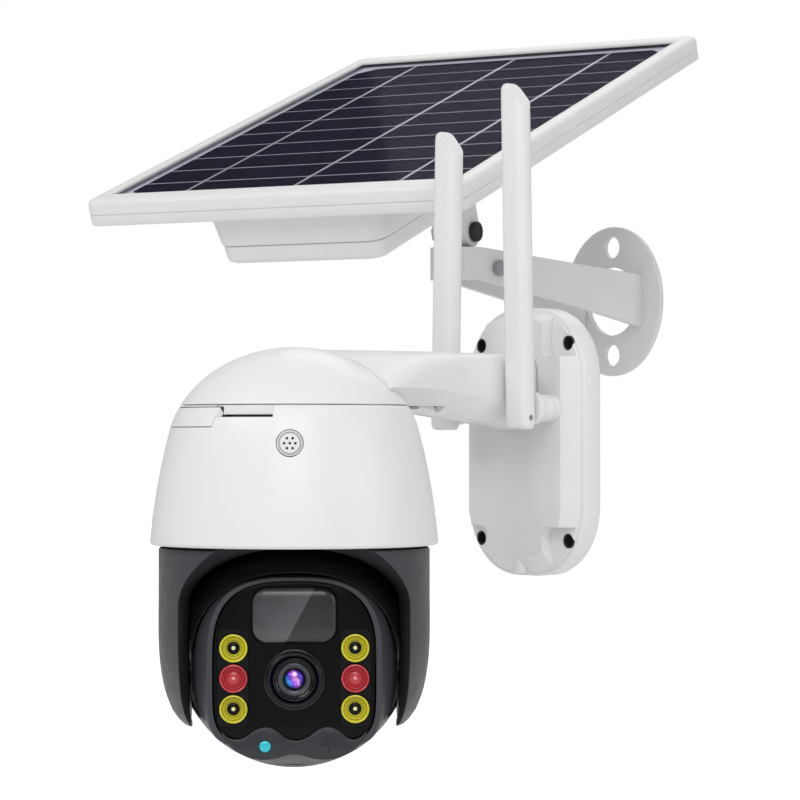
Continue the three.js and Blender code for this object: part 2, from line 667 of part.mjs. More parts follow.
// Lens parts are turned about Z and then laid along the viewing axis, opening towards -Y.
const alongView = (geometry) => geometry.rotateX(Math.PI / 2).translate(0, FACE_Y, LENS_Z);
const lensRing = () => alongView(turned([
  [8.2, -2.6], [9, -2.6], [9, 0.3], [11, 0.3], [11, 1.5], [9.6, 2.4], [8.2, 1.2], [8.2, -2.6],
], 24));
const lensBarrel = () => alongView(turned([
  [0, -20], [6.6, -20], [6.6, -8], [7.8, -8], [7.8, 0.9], [6.4, 0.9], [3.6, -1.4], [3.6, -3], [0, -3],
], 20));
const lensGlass = () => alongView(turned([
  [0, -2.7], [3.2, -2.7], [3.2, -1.6], [2.4, -1], [1.3, -0.6], [0, -0.5],
], 14));
add(head, "lens_ring", lensRing(), blackPlastic);
add(head, "lens_barrel", lensBarrel(), blackPlastic);
add(head, "lens_glass", lensGlass(), glass);

// The waved trim under the face carries the light sensor window and the microphone holes.
const TRIM = { y0: -31.2, y1: -30.75 };
const SENSOR = { x: -10.4, z: -108.3, radius: 2 };
const MICROPHONE = { x: 12.3, z: -107.4, spacing: 1.8, hole: 0.55 };
function trimOutline() {
  const shape = new THREE.Shape();
  shape.moveTo(-26, -102.4);
  shape.quadraticCurveTo(-22, -106.4, -18, -105.2);
  shape.bezierCurveTo(-15, -104, -14, -101.5, -10.4, -101.5);
  shape.bezierCurveTo(-6, -101.5, -5, -106.3, 0.6, -106.3);
  shape.bezierCurveTo(6, -106.3, 8, -101.5, 12.4, -101.5);
  shape.bezierCurveTo(15.6, -101.5, 17, -105.8, 21, -105.9);
  shape.quadraticCurveTo(24, -105.6, 26, -102.4);
  shape.quadraticCurveTo(24, -111.4, 14, -113.6);
  shape.lineTo(-14, -113.6);
  shape.quadraticCurveTo(-24, -111.4, -26, -102.4);
  return shape;
}

function waveTrim() {
  const trim = slabXZ(trimOutline(), [TRIM.y0, TRIM.y1], 6);
  const window = rod(SENSOR.radius + 0.3, [-40, -20], "y", [SENSOR.x, 0, SENSOR.z], 16);
  const { x, z, spacing, hole } = MICROPHONE;
  const cross = [[0, 0], [1, 0], [-1, 0], [0, 1], [0, -1]];
  const holes = cross.map(([dx, dz]) =>
    rod(hole, [-40, -20], "y", [x + dx * spacing, 0, z + dz * spacing], 8));
  return cut(trim, window, ...holes);
}

function sensorWindow() {
  return rod(SENSOR.radius, [-31.6, TRIM.y1], "y", [SENSOR.x, 0, SENSOR.z], 16);
}
add(head, "wave_trim", waveTrim(), trimPlastic);
add(head, "light_sensor_window", sensorWindow(), cyanWindow);

add(head, "lamp_board", lampBoard(), boardGreen);
add(head, "sensor_board", block([-13, 13], [-9.6, -8], [-100, -74]), boardGreen);
add(head, "tilt_motor", tiltMotor(), steel);
add(head, "tilt_shaft_left", tiltShaft(-1), steel);
add(head, "tilt_shaft_right", tiltShaft(1), steel);

function lampBoard() {
  const board = roundedRect(52, 30, 3, 0, -85);
  return cut(slabXZ(board, [-25.6, -24.2], 3), rod(8.4, [-40, -10], "y", [0, 0, LENS_Z], 24));
}

function tiltMotor() {
  return rod(13.5, [12, 31], "x", [0, 8, TILT_Z], 28);
}

function tiltShaft(side) {
  const bar = join(
    rod(BUSH.bore - 0.1, [32.6, 45.6], "x", [0, 0, TILT_Z], 16),
    rod(7.6, [BALL_HALF + 0.02, 38.2], "x", [0, 0, TILT_Z], 20),
  );
  return side < 0 ? bar.rotateZ(Math.PI) : bar;
}

// ---------- antennas ----------
function antennaSocket(x) {
  return rod(5.3, [-24, -PLATE.depth - GAP], "y", [x, 0, ANTENNA.axisZ], 20);
}

// The knuckle is a disc that turns on the socket, with a tongue that the blade's pin goes through.
function antennaKnuckle() {
  const { y, pinZ, axisZ } = ANTENNA;
  const disc = rod(6.2, [-28, -24 - GAP], "y", [0, 0, axisZ], 20);
  const tongue = block([-1.9, 1.9], [y, -27.5], [pinZ - 2.5, pinZ + 2.5]);
  const eye = rod(2.5, [-1.9, 1.9], "x", [0, y, pinZ], 16);
  return cut(join(disc, join(tongue, eye)), rod(ANTENNA_PIN.hole, [-5, 5], "x", [0, y, pinZ], 12));
}

// A flat blade with a slanted end, rounded below about its pin and slotted for the tongue.
function antennaBlade(top) {
  const { y, pinZ, width, thick } = ANTENNA;
  const [half, low] = [width / 2, pinZ - ANTENNA_BOTTOM];
  const section = roundedRect(width, thick, 3.2, 0, y);
  const body = slabXY(section, [pinZ, top], 4);
  const footOutline = slabXY(roundedRect(width, 2 * low, 1.6, 0, y), [0, 40], 3);
  const foot = common(rod(low, [-half, half], "x", [0, y, pinZ], 24), footOutline);
  const corner = polygon([[-half + 1.6, top + 1], [half + 1, top + 1], [half + 1, top - 10.6]]);
  const slant = slabXZ(corner, [y - 10, y + 10]);
  const slot = block([-2.3, 2.3], [y - 2.9, y + 10], [-10, pinZ + 3.3]);
  return cut(join(body, foot), slant, slot, rod(ANTENNA_PIN.hole, [-10, 10], "x", [0, y, pinZ], 12));
}

function antennaPin() {
  const { half, radius } = ANTENNA_PIN;
  return rod(radius, [-half, half], "x", [0, ANTENNA.y, ANTENNA.pinZ], 12);
}

function antenna(name, side, top) {
  const x = side * ANTENNA.x;
  add(camera, `antenna_socket_${name}`, antennaSocket(x), whitePlastic);
  const group = frameAt(camera, [x, 0, ANTENNA.axisZ]);
  group.rotation.y = rad(-side * ANTENNA.lean);
  const local = (geometry) => geometry.translate(0, 0, -ANTENNA.axisZ);
  add(group, `antenna_knuckle_${name}`, local(antennaKnuckle()), whitePlastic);
  add(group, `antenna_blade_${name}`, local(antennaBlade(top)), whitePlastic);
  add(group, `antenna_pin_${name}`, local(antennaPin()), steel);
}
antenna("near", 1, NEAR_TOP);
antenna("far", -1, FAR_TOP);

// ---------- solar bracket ----------
const LOOP = { radius: 12, spread: 20, wall: 3 };
const CLAMP = { y: 13.5, z: 79, shank: 1.9 };
function loopOutline(inset) {
  const start = OVAL.back - OVAL.thick - POST.y;
  const shape = new THREE.Shape();
  shape.moveTo(LOOP.radius - inset, 0);
  shape.lineTo(LOOP.spread - inset, start);
  shape.lineTo(-LOOP.spread + inset, start);
  shape.lineTo(-LOOP.radius + inset, 0);
  shape.absarc(0, 0, LOOP.radius - inset, Math.PI, 2 * Math.PI);
  return shape;
}

// Seen from the side, the arm deepens and drops towards the wall.
function loopSide() {
  const start = OVAL.back - OVAL.thick - POST.y;
  return polygon([[-14, 73.6], [4, 73.6], [start + 0.5, 54.2], [start + 0.5, 79], [4, 88.3], [-14, 88.3]]);
}

function solarBracket() {
  const outer = slabXY(loopOutline(0), [40, 100], 12);
  const hollow = slabXY(loopOutline(LOOP.wall), [30, 110], 12);
  const opened = cut(outer, hollow);
  const loop = common(opened, slabYZ(loopSide(), [-40, 40]));
  const face = new THREE.Shape();
  face.absellipse(0, OVAL.z, OVAL.halfWidth, OVAL.halfHeight, 0, 2 * Math.PI);
  const back = OVAL.back - POST.y;
  const middle = rod(OVAL.middleHole, [0, 120], "y", [0, 0, OVAL.z], 28);
  const screwHole = (side) => rod(OVAL.screwHole, [0, 120], "y", [0, 0, OVAL.z + side * OVAL.screwAt], 18);
  const plate = cut(slabXZ(face, [back - OVAL.thick, back], 16), middle, screwHole(-1), screwHole(1));
  const clampHole = rod(CLAMP.shank + 0.3, [-40, 40], "x", [0, CLAMP.y, CLAMP.z], 14);
  return cut(join(loop, plate), clampHole);
}

const post = frameAt(camera, [POST.x, POST.y, 0]);
add(post, "solar_bracket", solarBracket(), bracketPaint);
add(post, "clamp_bolt", clampBolt(), steel);

// The bolt behind the post draws the loop's sides together.
function clampBolt() {
  const at = [0, CLAMP.y, CLAMP.z];
  return join(rod(CLAMP.shank, [-12.4, 16.4], "x", at, 14), rod(3.6, [13.9, 16.4], "x", at, 6));
}

// ---------- swivel post and clevis ----------
const swivel = frameAt(post, [0, 0, 0], PANEL.swivel);
const EYE = { radius: 6.4, half: 4, bolt: 2.6 };
function swivelPost() {
  const barrel = rod(LOOP.radius - LOOP.wall - GAP, [74, 88.2], "z", [0, 0, 0], 28);
  const stem = block([-EYE.half, EYE.half], [-6, 6], [80, 90]);
  const eye = rod(EYE.radius, [-EYE.half, EYE.half], "x", [0, 0, POST.tiltZ], 24);
  const neck = block([-EYE.half, EYE.half], [-EYE.radius, EYE.radius], [87, POST.tiltZ]);
  return cut(join(barrel, stem, neck, eye), rod(EYE.bolt + 0.1, [-20, 20], "x", [0, 0, POST.tiltZ], 18));
}
add(swivel, "swivel_post", swivelPost(), bracketPaint);

const tilted = frameAt(swivel, [0, 0, POST.tiltZ]);
tilted.rotation.x = rad(PANEL.tilt);

const PANEL_BOTTOM = PANEL_AT.top - PANEL.thick;
const LID_BOTTOM = PANEL_BOTTOM - BATTERY.depth - BATTERY.lid;
const EAR = { inner: EYE.half + GAP, outer: 8.4, radius: 6.9 };

function panelClevis() {
  const foot = block([-15, 15], [-14, 14], [LID_BOTTOM - 3.3, LID_BOTTOM - GAP]);
  const ear = (side) => {
    const span = side > 0 ? [EAR.inner, EAR.outer] : [-EAR.outer, -EAR.inner];
    const leg = block(span, [-EAR.radius, EAR.radius], [0, LID_BOTTOM - 3]);
    return join(rod(EAR.radius, span, "x", [0, 0, 0], 24), leg);
  };
  const body = join(foot, ear(1), ear(-1));
  return cut(body, rod(EYE.bolt + 0.1, [-20, 20], "x", [0, 0, 0], 18));
}

function tiltBolt() {
  const shank = rod(EYE.bolt, [-11, 9.5], "x", [0, 0, 0], 18);
  return join(shank, rod(4.4, [-11, -8.8], "x", [0, 0, 0], 6));
}
add(tilted, "panel_clevis", panelClevis(), bracketPaint);
add(tilted, "tilt_bolt", tiltBolt(), steel);
add(tilted, "bolt_cap", boltCap(), rubber);

function boltCap() {
  const cap = rod(4.6, [8.75, 11.6], "x", [0, 0, 0], 24);
  return cut(cap, rod(EYE.bolt + 0.3, [8, 10], "x", [0, 0, 0], 18));
}

// ---------- solar panel ----------
const panel = frameAt(tilted, [PANEL_AT.x, PANEL_AT.y, PANEL_AT.top]);
const GROOVE = { width: PANEL.width - 8, length: PANEL.length - 8 }; // holds the glass and the cell sheet
const BORDER = { side: 7, end: 11 };

const sheet = (halfX, halfY, heights) => block([-halfX, halfX], [-halfY, halfY], heights);

function panelFrame() {
  const [w, l] = [PANEL.width, PANEL.length];
  const outer = slabXY(roundedRect(w, l, 5), [-PANEL.thick, 0], 5);
  const groove = sheet(GROOVE.width / 2, GROOVE.length / 2, [-4.4, -1.2]);
  const window = slabXY(roundedRect(w - 2 * BORDER.side, l - 2 * BORDER.end, 3), [-20, 10], 3);
  return cut(outer, groove, window);
}

// The glass and the cell sheet are loose in the frame's groove by this much on each side.
const SLACK = 0.4;
const sheetInGroove = (heights) => sheet(GROOVE.width / 2 - SLACK, GROOVE.length / 2 - SLACK, heights);
add(panel, "panel_frame", panelFrame(), frameCoat);
add(panel, "panel_glass", sheetInGroove([-2.6, -1.5]), glass);
add(panel, "cell_sheet", sheetInGroove([-4.1, -2.9]), cellBlue);

// ---------- battery box ----------
function boxRing(inset, z) {
  const [w, l] = [BATTERY.width - 2 * inset, BATTERY.back - BATTERY.front - 2 * inset];
  const middle = (BATTERY.front + BATTERY.back) / 2 - PANEL_AT.y;
  const outline = roundedRect(w, l, 8 - Math.min(inset, 4), BATTERY.x, middle);
  return outline.getPoints(4).slice(0, -1).map((p) => new THREE.Vector3(p.x, p.y, z));
}

function batteryBox() {
  const [top, bottom] = [-PANEL.thick - GAP, -PANEL.thick - BATTERY.depth];
  const outer = loft([boxRing(2.2, bottom), boxRing(0, top)]);
  return cut(outer, loft([boxRing(4.6, bottom - 1), boxRing(3, top - BATTERY.wall)]));
}

function batteryLid() {
  const top = -PANEL.thick - BATTERY.depth - GAP;
  const bottom = top - BATTERY.lid + GAP;
  const outer = loft([boxRing(5.4, bottom), boxRing(3.4, bottom + 2.4), boxRing(2, top)]);
  return cut(outer, loft([boxRing(6.8, bottom + BATTERY.wall), boxRing(4.6, top + 1)]));
}
add(panel, "battery_box", batteryBox(), whitePlastic);
add(panel, "battery_lid", batteryLid(), whitePlastic);

const CELL = { radius: 9.1, front: -40, length: 65, spacing: 20, z: -PANEL.thick - 11.2 };
function batteryCell(side) {
  const place = [BATTERY.x + (side * CELL.spacing) / 2, 0, CELL.z];
  return rod(CELL.radius, [CELL.front, CELL.front + CELL.length], "y", place, 20);
}
add(panel, "battery_cell_left", batteryCell(-1), steel);
add(panel, "battery_cell_right", batteryCell(1), steel);

export default camera;
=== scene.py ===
"""Solar-powered security camera: the visible pieces and materials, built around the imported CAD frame.

Every piece is modelled in millimetres in the local frame of the body it rides on. The frames come from the
joints and from the CAD nodes' boxes, and a piece is moved into the row frame, in metres, when it is placed.
"""

import json
import math

import bmesh
import bpy
from mathutils import Matrix, Vector

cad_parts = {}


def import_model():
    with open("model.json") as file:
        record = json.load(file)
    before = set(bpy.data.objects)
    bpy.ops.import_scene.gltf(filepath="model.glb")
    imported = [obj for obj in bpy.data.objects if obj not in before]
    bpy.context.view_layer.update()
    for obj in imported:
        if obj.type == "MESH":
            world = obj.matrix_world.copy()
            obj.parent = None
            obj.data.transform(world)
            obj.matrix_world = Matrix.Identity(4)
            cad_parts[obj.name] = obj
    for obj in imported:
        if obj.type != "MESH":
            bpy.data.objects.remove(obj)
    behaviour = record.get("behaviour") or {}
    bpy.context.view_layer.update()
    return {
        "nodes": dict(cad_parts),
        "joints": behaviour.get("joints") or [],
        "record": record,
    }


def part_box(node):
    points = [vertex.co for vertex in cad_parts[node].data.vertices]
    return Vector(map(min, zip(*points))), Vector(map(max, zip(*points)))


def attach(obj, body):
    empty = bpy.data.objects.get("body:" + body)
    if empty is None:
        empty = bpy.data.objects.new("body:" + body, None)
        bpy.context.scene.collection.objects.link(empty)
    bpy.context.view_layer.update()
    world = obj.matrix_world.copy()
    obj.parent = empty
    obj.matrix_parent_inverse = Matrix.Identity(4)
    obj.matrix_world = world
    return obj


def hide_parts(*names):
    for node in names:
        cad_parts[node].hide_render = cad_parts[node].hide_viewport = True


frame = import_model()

MM = 0.001
GAP = 0.35  # running gap between neighbouring pieces
WALL = 2.4  # moulded wall thickness
FINE = 160  # segments round a large turned piece
SMALL = 48  # segments round a small turned piece


# ---------- local frames, read from the CAD ----------
JOINTS = {joint["name"]: joint for joint in frame["joints"]}


def local_frame(origin, turn_z=0.0, spin_y=0.0, tilt_x=0.0):
    """A frame in millimetres at a point, turned about its own Z, then Y, then X, in radians."""
    turn = Matrix.Rotation(turn_z, 4, "Z") @ Matrix.Rotation(spin_y, 4, "Y") @ Matrix.Rotation(tilt_x, 4, "X")
    return Matrix.Translation(Vector(origin)) @ turn @ Matrix.Scale(MM, 4)


def extent(node, place):
    """Lowest and highest corner of a CAD node, in millimetres of a local frame."""
    inverse = place.inverted()
    points = [inverse @ vertex.co for vertex in frame["nodes"][node].data.vertices]
    return tuple(Vector([pick(point[i] for point in points) for i in range(3)]) for pick in (min, max))


def middle_of(node, place):
    low, high = extent(node, place)
    return (low + high) / 2


def heading(axis):
    """The turn about Z that lays a local X axis along this one."""
    return math.atan2(axis[1], axis[0])


def widest_normal(node):
    """The upward normal of a flat CAD node's widest face."""
    face = max(frame["nodes"][node].data.polygons, key=lambda polygon: polygon.area)
    return face.normal if face.normal.z > 0 else -face.normal


WALL_FRAME = local_frame((0, 0, 0))
DOME_FRAME = local_frame(JOINTS["head_pan"]["pos_m"])
HEAD_FRAME = local_frame(JOINTS["head_pan"]["pos_m"], heading(JOINTS["head_tilt"]["axis"]))
FLAP_TURN = heading(JOINTS["card_flap_hinge"]["axis"])
TILT_Z = (JOINTS["head_tilt"]["pos_m"][2] - JOINTS["head_pan"]["pos_m"][2]) / MM

shell_low, shell_high = extent("dome_shell", DOME_FRAME)
cap_low, cap_high = extent("dome_cap", DOME_FRAME)
DOME_R = shell_high.x
DOME_RIM = shell_low.z
DOME_TOP = cap_high.z
DOME_SEAM = cap_low.z
REACH = -JOINTS["head_pan"]["pos_m"][1] / MM

PANEL_TURN = heading(JOINTS["panel_tilt"]["axis"])
POST_FRAME = local_frame(JOINTS["panel_swivel"]["pos_m"][:2] + [0])
PANEL_NORMAL = Matrix.Rotation(-PANEL_TURN, 3, "Z") @ widest_normal("panel_glass")
PANEL_TILT = math.atan2(-PANEL_NORMAL.y, PANEL_NORMAL.z)
TILTED_FRAME = local_frame(JOINTS["panel_tilt"]["pos_m"], PANEL_TURN, 0, PANEL_TILT)
panel_low, panel_high = extent("panel_frame", TILTED_FRAME)
PANEL_MIDDLE = (panel_low + panel_high) / 2
PANEL_FRAME = TILTED_FRAME @ Matrix.Translation((PANEL_MIDDLE.x, PANEL_MIDDLE.y, panel_high.z))
PANEL_W, PANEL_L, PANEL_T = panel_high - panel_low


# ---------- mesh helpers ----------
def mesh_object(name, points, faces, slots=None):
    mesh = bpy.data.meshes.new(name)
    mesh.from_pydata([tuple(point) for point in points], [], faces)
    if slots:
        mesh.polygons.foreach_set("material_index", slots)
    soup = bmesh.new()
    soup.from_mesh(mesh)
    bmesh.ops.remove_doubles(soup, verts=soup.verts, dist=1e-5)
    bmesh.ops.recalc_face_normals(soup, faces=soup.faces)
    soup.to_mesh(mesh)
    soup.free()
    obj = bpy.data.objects.new(name, mesh)
    bpy.context.scene.collection.objects.link(obj)
    return obj


def loft(name, rings, closed=False):
    """A closed body through rings of equally many points; closed joins the last ring to the first."""
    count = len(rings[0])
    faces = []
    last = len(rings) if closed else len(rings) - 1
    for level in range(last):
        low = level * count
        high = ((level + 1) % len(rings)) * count
        for i in range(count):
            j = (i + 1) % count
            faces.append((low + i, low + j, high + j, high + i))
    if not closed:
        faces.append(tuple(range(count)))
        faces.append(tuple(range(last * count, (last + 1) * count)))
    return mesh_object(name, [point for ring in rings for point in ring], faces)


def lathe(name, profile, segments=FINE, slots=None):
    """Turns a profile of (radius, height) about Z. It starts and ends on the axis, or closes on itself."""
    on_axis = profile[0][0] < 1e-6 and profile[-1][0] < 1e-6
    points, rows = [], []
    for radius, height in profile:
        if radius < 1e-6:
            rows.append([len(points)] * segments)
            points.append((0, 0, height))
            continue
        rows.append(list(range(len(points), len(points) + segments)))
        for i in range(segments):
            angle = 2 * math.pi * i / segments
            points.append((radius * math.cos(angle), radius * math.sin(angle), height))
    faces, marks = [], []
    pairs = [(k, k + 1) for k in range(len(rows) - 1)]
    if not on_axis:
        pairs.append((len(rows) - 1, 0))
    for k, (a, b) in enumerate(pairs):
        for i in range(segments):
            j = (i + 1) % segments
            corners = [rows[a][i], rows[a][j], rows[b][j], rows[b][i]]
            face = tuple(dict.fromkeys(corners))
            if len(face) > 2:
                faces.append(face)
                marks.append(slots[k] if slots else 0)
    return mesh_object(name, points, faces, marks if slots else None)


def prism(name, outline, low, high, plane="xz"):
    """An outline in two axes, extruded along the third."""
    def point(a, b, c):
        return {"xz": (a, c, b), "xy": (a, b, c), "yz": (c, a, b)}[plane]
    return loft(name, [[point(a, b, level) for a, b in outline] for level in (low, high)])


def block(name, x, y, z):
    return prism(name, [(x[0], y[0]), (x[1], y[0]), (x[1], y[1]), (x[0], y[1])], z[0], z[1], "xy")


def rod(name, radius, low, high, centre, axis="z", segments=SMALL):
    """A round bar along an axis, through a point of the plane across it."""
    plane = {"z": "xy", "y": "xz", "x": "yz"}[axis]
    turn = [2 * math.pi * i / segments for i in range(segments)]
    outline = [(centre[0] + radius * math.cos(a), centre[1] + radius * math.sin(a)) for a in turn]
    return prism(name, outline, low, high, plane)


def arc(cx, cy, radius, start, end, steps):
    """Points on an arc, angles in degrees."""
    turn = [math.radians(start + (end - start) * i / steps) for i in range(steps + 1)]
    return [(cx + radius * math.cos(a), cy + radius * math.sin(a)) for a in turn]


def upright(outline, y):
    """An outline in X and Z, as points at a depth."""
    return [(x, y, z) for x, z in outline]


def laid(outline, z):
    """An outline in X and Y, as points at a height."""
    return [(x, y, z) for x, y in outline]


def rounded_rect(width, height, corner, cx=0.0, cy=0.0, steps=12):
    x, y = width / 2 - corner, height / 2 - corner
    points = []
    for sx, sy, start in ((1, 1, 0), (-1, 1, 90), (-1, -1, 180), (1, -1, 270)):
        points += arc(cx + sx * x, cy + sy * y, corner, start, start + 90, steps)
    return points


def spline(points, steps=8):
    """A smooth curve through points of any dimension."""
    curve = []
    count = len(points)
    for i in range(count - 1):
        p = [points[max(i - 1, 0)], points[i], points[i + 1], points[min(i + 2, count - 1)]]
        for k in range(steps):
            t = k / steps
            weights = (
                -0.5 * t + t * t - 0.5 * t**3,
                1 - 2.5 * t * t + 1.5 * t**3,
                0.5 * t + 2 * t * t - 1.5 * t**3,
                -0.5 * t * t + 0.5 * t**3,
            )
            curve.append(tuple(sum(w * q[d] for w, q in zip(weights, p)) for d in range(len(p[0]))))
    curve.append(tuple(points[-1]))
    return curve


def squared_oval(half, bottom, top, y, upper, lower, count=144):
    """A superellipse in X and Z, squarer below than above."""
    points = []
    for i in range(count):
        angle = 2 * math.pi * i / count
        c, s = math.cos(angle), math.sin(angle)
        power = upper if s > 0 else lower
        x = math.copysign(abs(c) ** (2 / power), c) * half
        z = math.copysign(abs(s) ** (2 / power), s) * (top - bottom) / 2 + (top + bottom) / 2
        points.append((x, y, z))
    return points


def bake(obj):
    """Applies the object's modifiers."""
    graph = bpy.context.evaluated_depsgraph_get()
    mesh = bpy.data.meshes.new_from_object(obj.evaluated_get(graph))
    obj.modifiers.clear()
    obj.data = mesh


def combine(obj, operation, tools):
    for tool in tools:
        modifier = obj.modifiers.new(operation, "BOOLEAN")
        modifier.operation = operation
        modifier.solver = "EXACT"
        modifier.object = tool
        bake(obj)
        bpy.data.objects.remove(tool)
    return obj


def cut(obj, *tools):
    return combine(obj, "DIFFERENCE", tools)


def join(obj, *tools):
    return combine(obj, "UNION", tools)


def common(obj, *tools):
    return combine(obj, "INTERSECT", tools)


def turned_z(obj, angle):
    obj.data.transform(Matrix.Rotation(angle, 4, "Z"))
    return obj


def along_view(obj, x, y, z):
    """Lays a piece turned about Z along the head's viewing axis, opening towards -Y."""
    obj.data.transform(Matrix.Translation((x, y, z)) @ Matrix.Rotation(math.pi / 2, 4, "X"))
    return obj


def settle(obj, place, body, materials, nodes=(), smooth=35):
    """Moves a finished piece into the row frame, gives it its body and materials, and hides the CAD nodes it
    replaces.
    """
    obj.data.transform(place)
    for name in materials if isinstance(materials, (list, tuple)) else [materials]:
        obj.data.materials.append(MATERIALS[name])
    obj.data.shade_smooth()
    obj.data.set_sharp_from_angle(angle=math.radians(smooth))
    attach(obj, body)
    if nodes:
        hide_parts(*nodes)


def settle_named(place, body, *pieces):
    """Settles pieces whose functions bear the name of the CAD node they replace."""
    for make, look, *smooth in pieces:
        settle(make(), place, body, look, [make.__name__], *smooth)


SLOT_OF = {part["node"]: part["material_slot"] for part in frame["record"]["subparts"]}
MATERIALS = {}
WHITE = (1, 1, 1, 1)


# ---------- materials ----------
def linear(hex_colour):
    """A hex colour as linear RGBA."""
    channels = [int(hex_colour[i : i + 2], 16) / 255 for i in (1, 3, 5)]
    return (*[c / 12.92 if c <= 0.04045 else ((c + 0.055) / 1.055) ** 2.4 for c in channels], 1.0)


class Nodes:
    """A shorthand for building the node tree of a material or a world."""

    def __init__(self, owner, output="ShaderNodeOutputMaterial"):
        owner.use_nodes = True
        self.tree = owner.node_tree
        self.tree.nodes.clear()
        self.output = self.add(output)
        self.texture_space = self.add("ShaderNodeTexCoord")
        self.coordinates = self.texture_space.outputs["Object"]

    def add(self, kind, **values):
        node = self.tree.nodes.new(kind)
        for key, value in values.items():
            if hasattr(node, key):
                setattr(node, key, value)
            else:
                node.inputs[key.replace("_", " ")].default_value = value
        return node

    def link(self, source, target):
        self.tree.links.new(source, target)

    def noise(self, scale, detail=3.0, vector=None):
        node = self.add("ShaderNodeTexNoise", Scale=scale, Detail=detail)
        self.link(vector or self.coordinates, node.inputs["Vector"])
        return node.outputs["Fac"]

    def remap(self, value, low, high, to_low, to_high):
        node = self.add("ShaderNodeMapRange")
        self.link(value, node.inputs["Value"])
        for name, number in zip(("From Min", "From Max", "To Min", "To Max"), (low, high, to_low, to_high)):
            node.inputs[name].default_value = number
        return node.outputs["Result"]

    def uneven(self, scale, low, high, detail=3.0):
        """A value that wanders between two limits over the surface."""
        return self.remap(self.noise(scale, detail), 0.3, 0.7, low, high)

    def along(self, origin, direction):
        """Distance from a point, in metres, along a direction given in the head's frame."""
        offset = self.add("ShaderNodeVectorMath", operation="SUBTRACT")
        self.link(self.coordinates, offset.inputs[0])
        offset.inputs[1].default_value = origin
        dot = self.add("ShaderNodeVectorMath", operation="DOT_PRODUCT")
        self.link(offset.outputs[0], dot.inputs[0])
        dot.inputs[1].default_value = (HEAD_FRAME.to_3x3() @ Vector(direction)).normalized()
        return dot.outputs["Value"]

    def mapped(self, setting, value):
        """Surface coordinates after a rotation or a stretch."""
        mapping = self.add("ShaderNodeMapping")
        mapping.inputs[setting].default_value = value
        self.link(self.coordinates, mapping.inputs["Vector"])
        return mapping.outputs["Vector"]

    def mix(self, factor, first, second):
        node = self.add("ShaderNodeMix", data_type="RGBA")
        for value, index in ((factor, 0), (first, 6), (second, 7)):
            if hasattr(value, "is_linked"):
                self.link(value, node.inputs[index])
            else:
                node.inputs[index].default_value = value
        return node.outputs[2]

    def edge_normal(self, radius):
        """The normal as if the edges were rounded."""
        return self.add("ShaderNodeBevel", samples=4, Radius=radius).outputs["Normal"]

    def edge_mask(self, rounded):
        """Near 1 along edges, where the rounded normal leaves the true one."""
        geometry = self.add("ShaderNodeNewGeometry")
        dot = self.add("ShaderNodeVectorMath", operation="DOT_PRODUCT")
        self.link(rounded, dot.inputs[0])
        self.link(geometry.outputs["Normal"], dot.inputs[1])
        return self.remap(dot.outputs["Value"], 0.995, 0.85, 0.0, 1.0)

    def bump(self, height, distance, normal=None):
        node = self.add("ShaderNodeBump", Strength=1.0, Distance=distance)
        self.link(height, node.inputs["Height"])
        if normal:
            self.link(normal, node.inputs["Normal"])
        return node.outputs["Normal"]

    def surface(self, **values):
        node = self.add("ShaderNodeBsdfPrincipled")
        for key, value in values.items():
            socket = node.inputs[key.replace("_", " ")]
            if hasattr(value, "is_linked"):
                self.link(value, socket)
            else:
                socket.default_value = value
        self.link(node.outputs["BSDF"], self.output.inputs["Surface"])

    def mixed_surface(self, factor, first, second):
        mix = self.add("ShaderNodeMixShader")
        for source, target in zip((factor, first.outputs[0], second.outputs[0]), mix.inputs):
            self.link(source, target)
        self.link(mix.outputs[0], self.output.inputs["Surface"])


def material(name):
    """Starts a material, and files it under its name."""
    MATERIALS[name] = bpy.data.materials.new(name)
    return Nodes(MATERIALS[name])


def moulded(
    name, colour, roughness, grain=0.00002, edge_highlight=0.25, mottling=0.05, edge=0.0005, coat=0.0, shine=0.5
):
    """Moulded plastic: fine texture, uneven gloss, slight mottling, and edges painted lighter: a painted
    highlight along every edge, broken up by noise.
    """
    nodes = material(name)
    base = linear(colour)
    darker = tuple(c * (1 - 2.2 * mottling) for c in base[:3]) + (1.0,)
    highlight_colour = tuple(min(1.0, c + 0.10 + 0.2 * c) for c in base[:3]) + (1.0,)
    cloud = nodes.uneven(35.0, 0.0, 1.0, 4.0)
    tint = nodes.mix(cloud, base, darker)
    rounded = nodes.edge_normal(edge)
    # Painted highlight: the edges are painted lighter, in patches, whatever the light.
    highlight_breakup = nodes.remap(nodes.noise(420.0, 5.0), 0.35, 0.65, 0.2, 1.0)
    highlight_mask = nodes.add("ShaderNodeMath", operation="MULTIPLY")
    nodes.link(nodes.edge_mask(rounded), highlight_mask.inputs[0])
    nodes.link(highlight_breakup, highlight_mask.inputs[1])
    share = nodes.remap(highlight_mask.outputs[0], 0.0, 1.0, 0.0, edge_highlight)
    gloss = nodes.uneven(180.0, roughness - 0.05, roughness + 0.07, 6.0)
    texture = nodes.noise(2600.0, 2.0)
    nodes.surface(
        Base_Color=nodes.mix(share, tint, highlight_colour),
        Roughness=gloss,
        Coat_Weight=coat,
        Coat_Roughness=0.15,
        Specular_IOR_Level=shine,
        Normal=nodes.bump(texture, grain, rounded),
    )


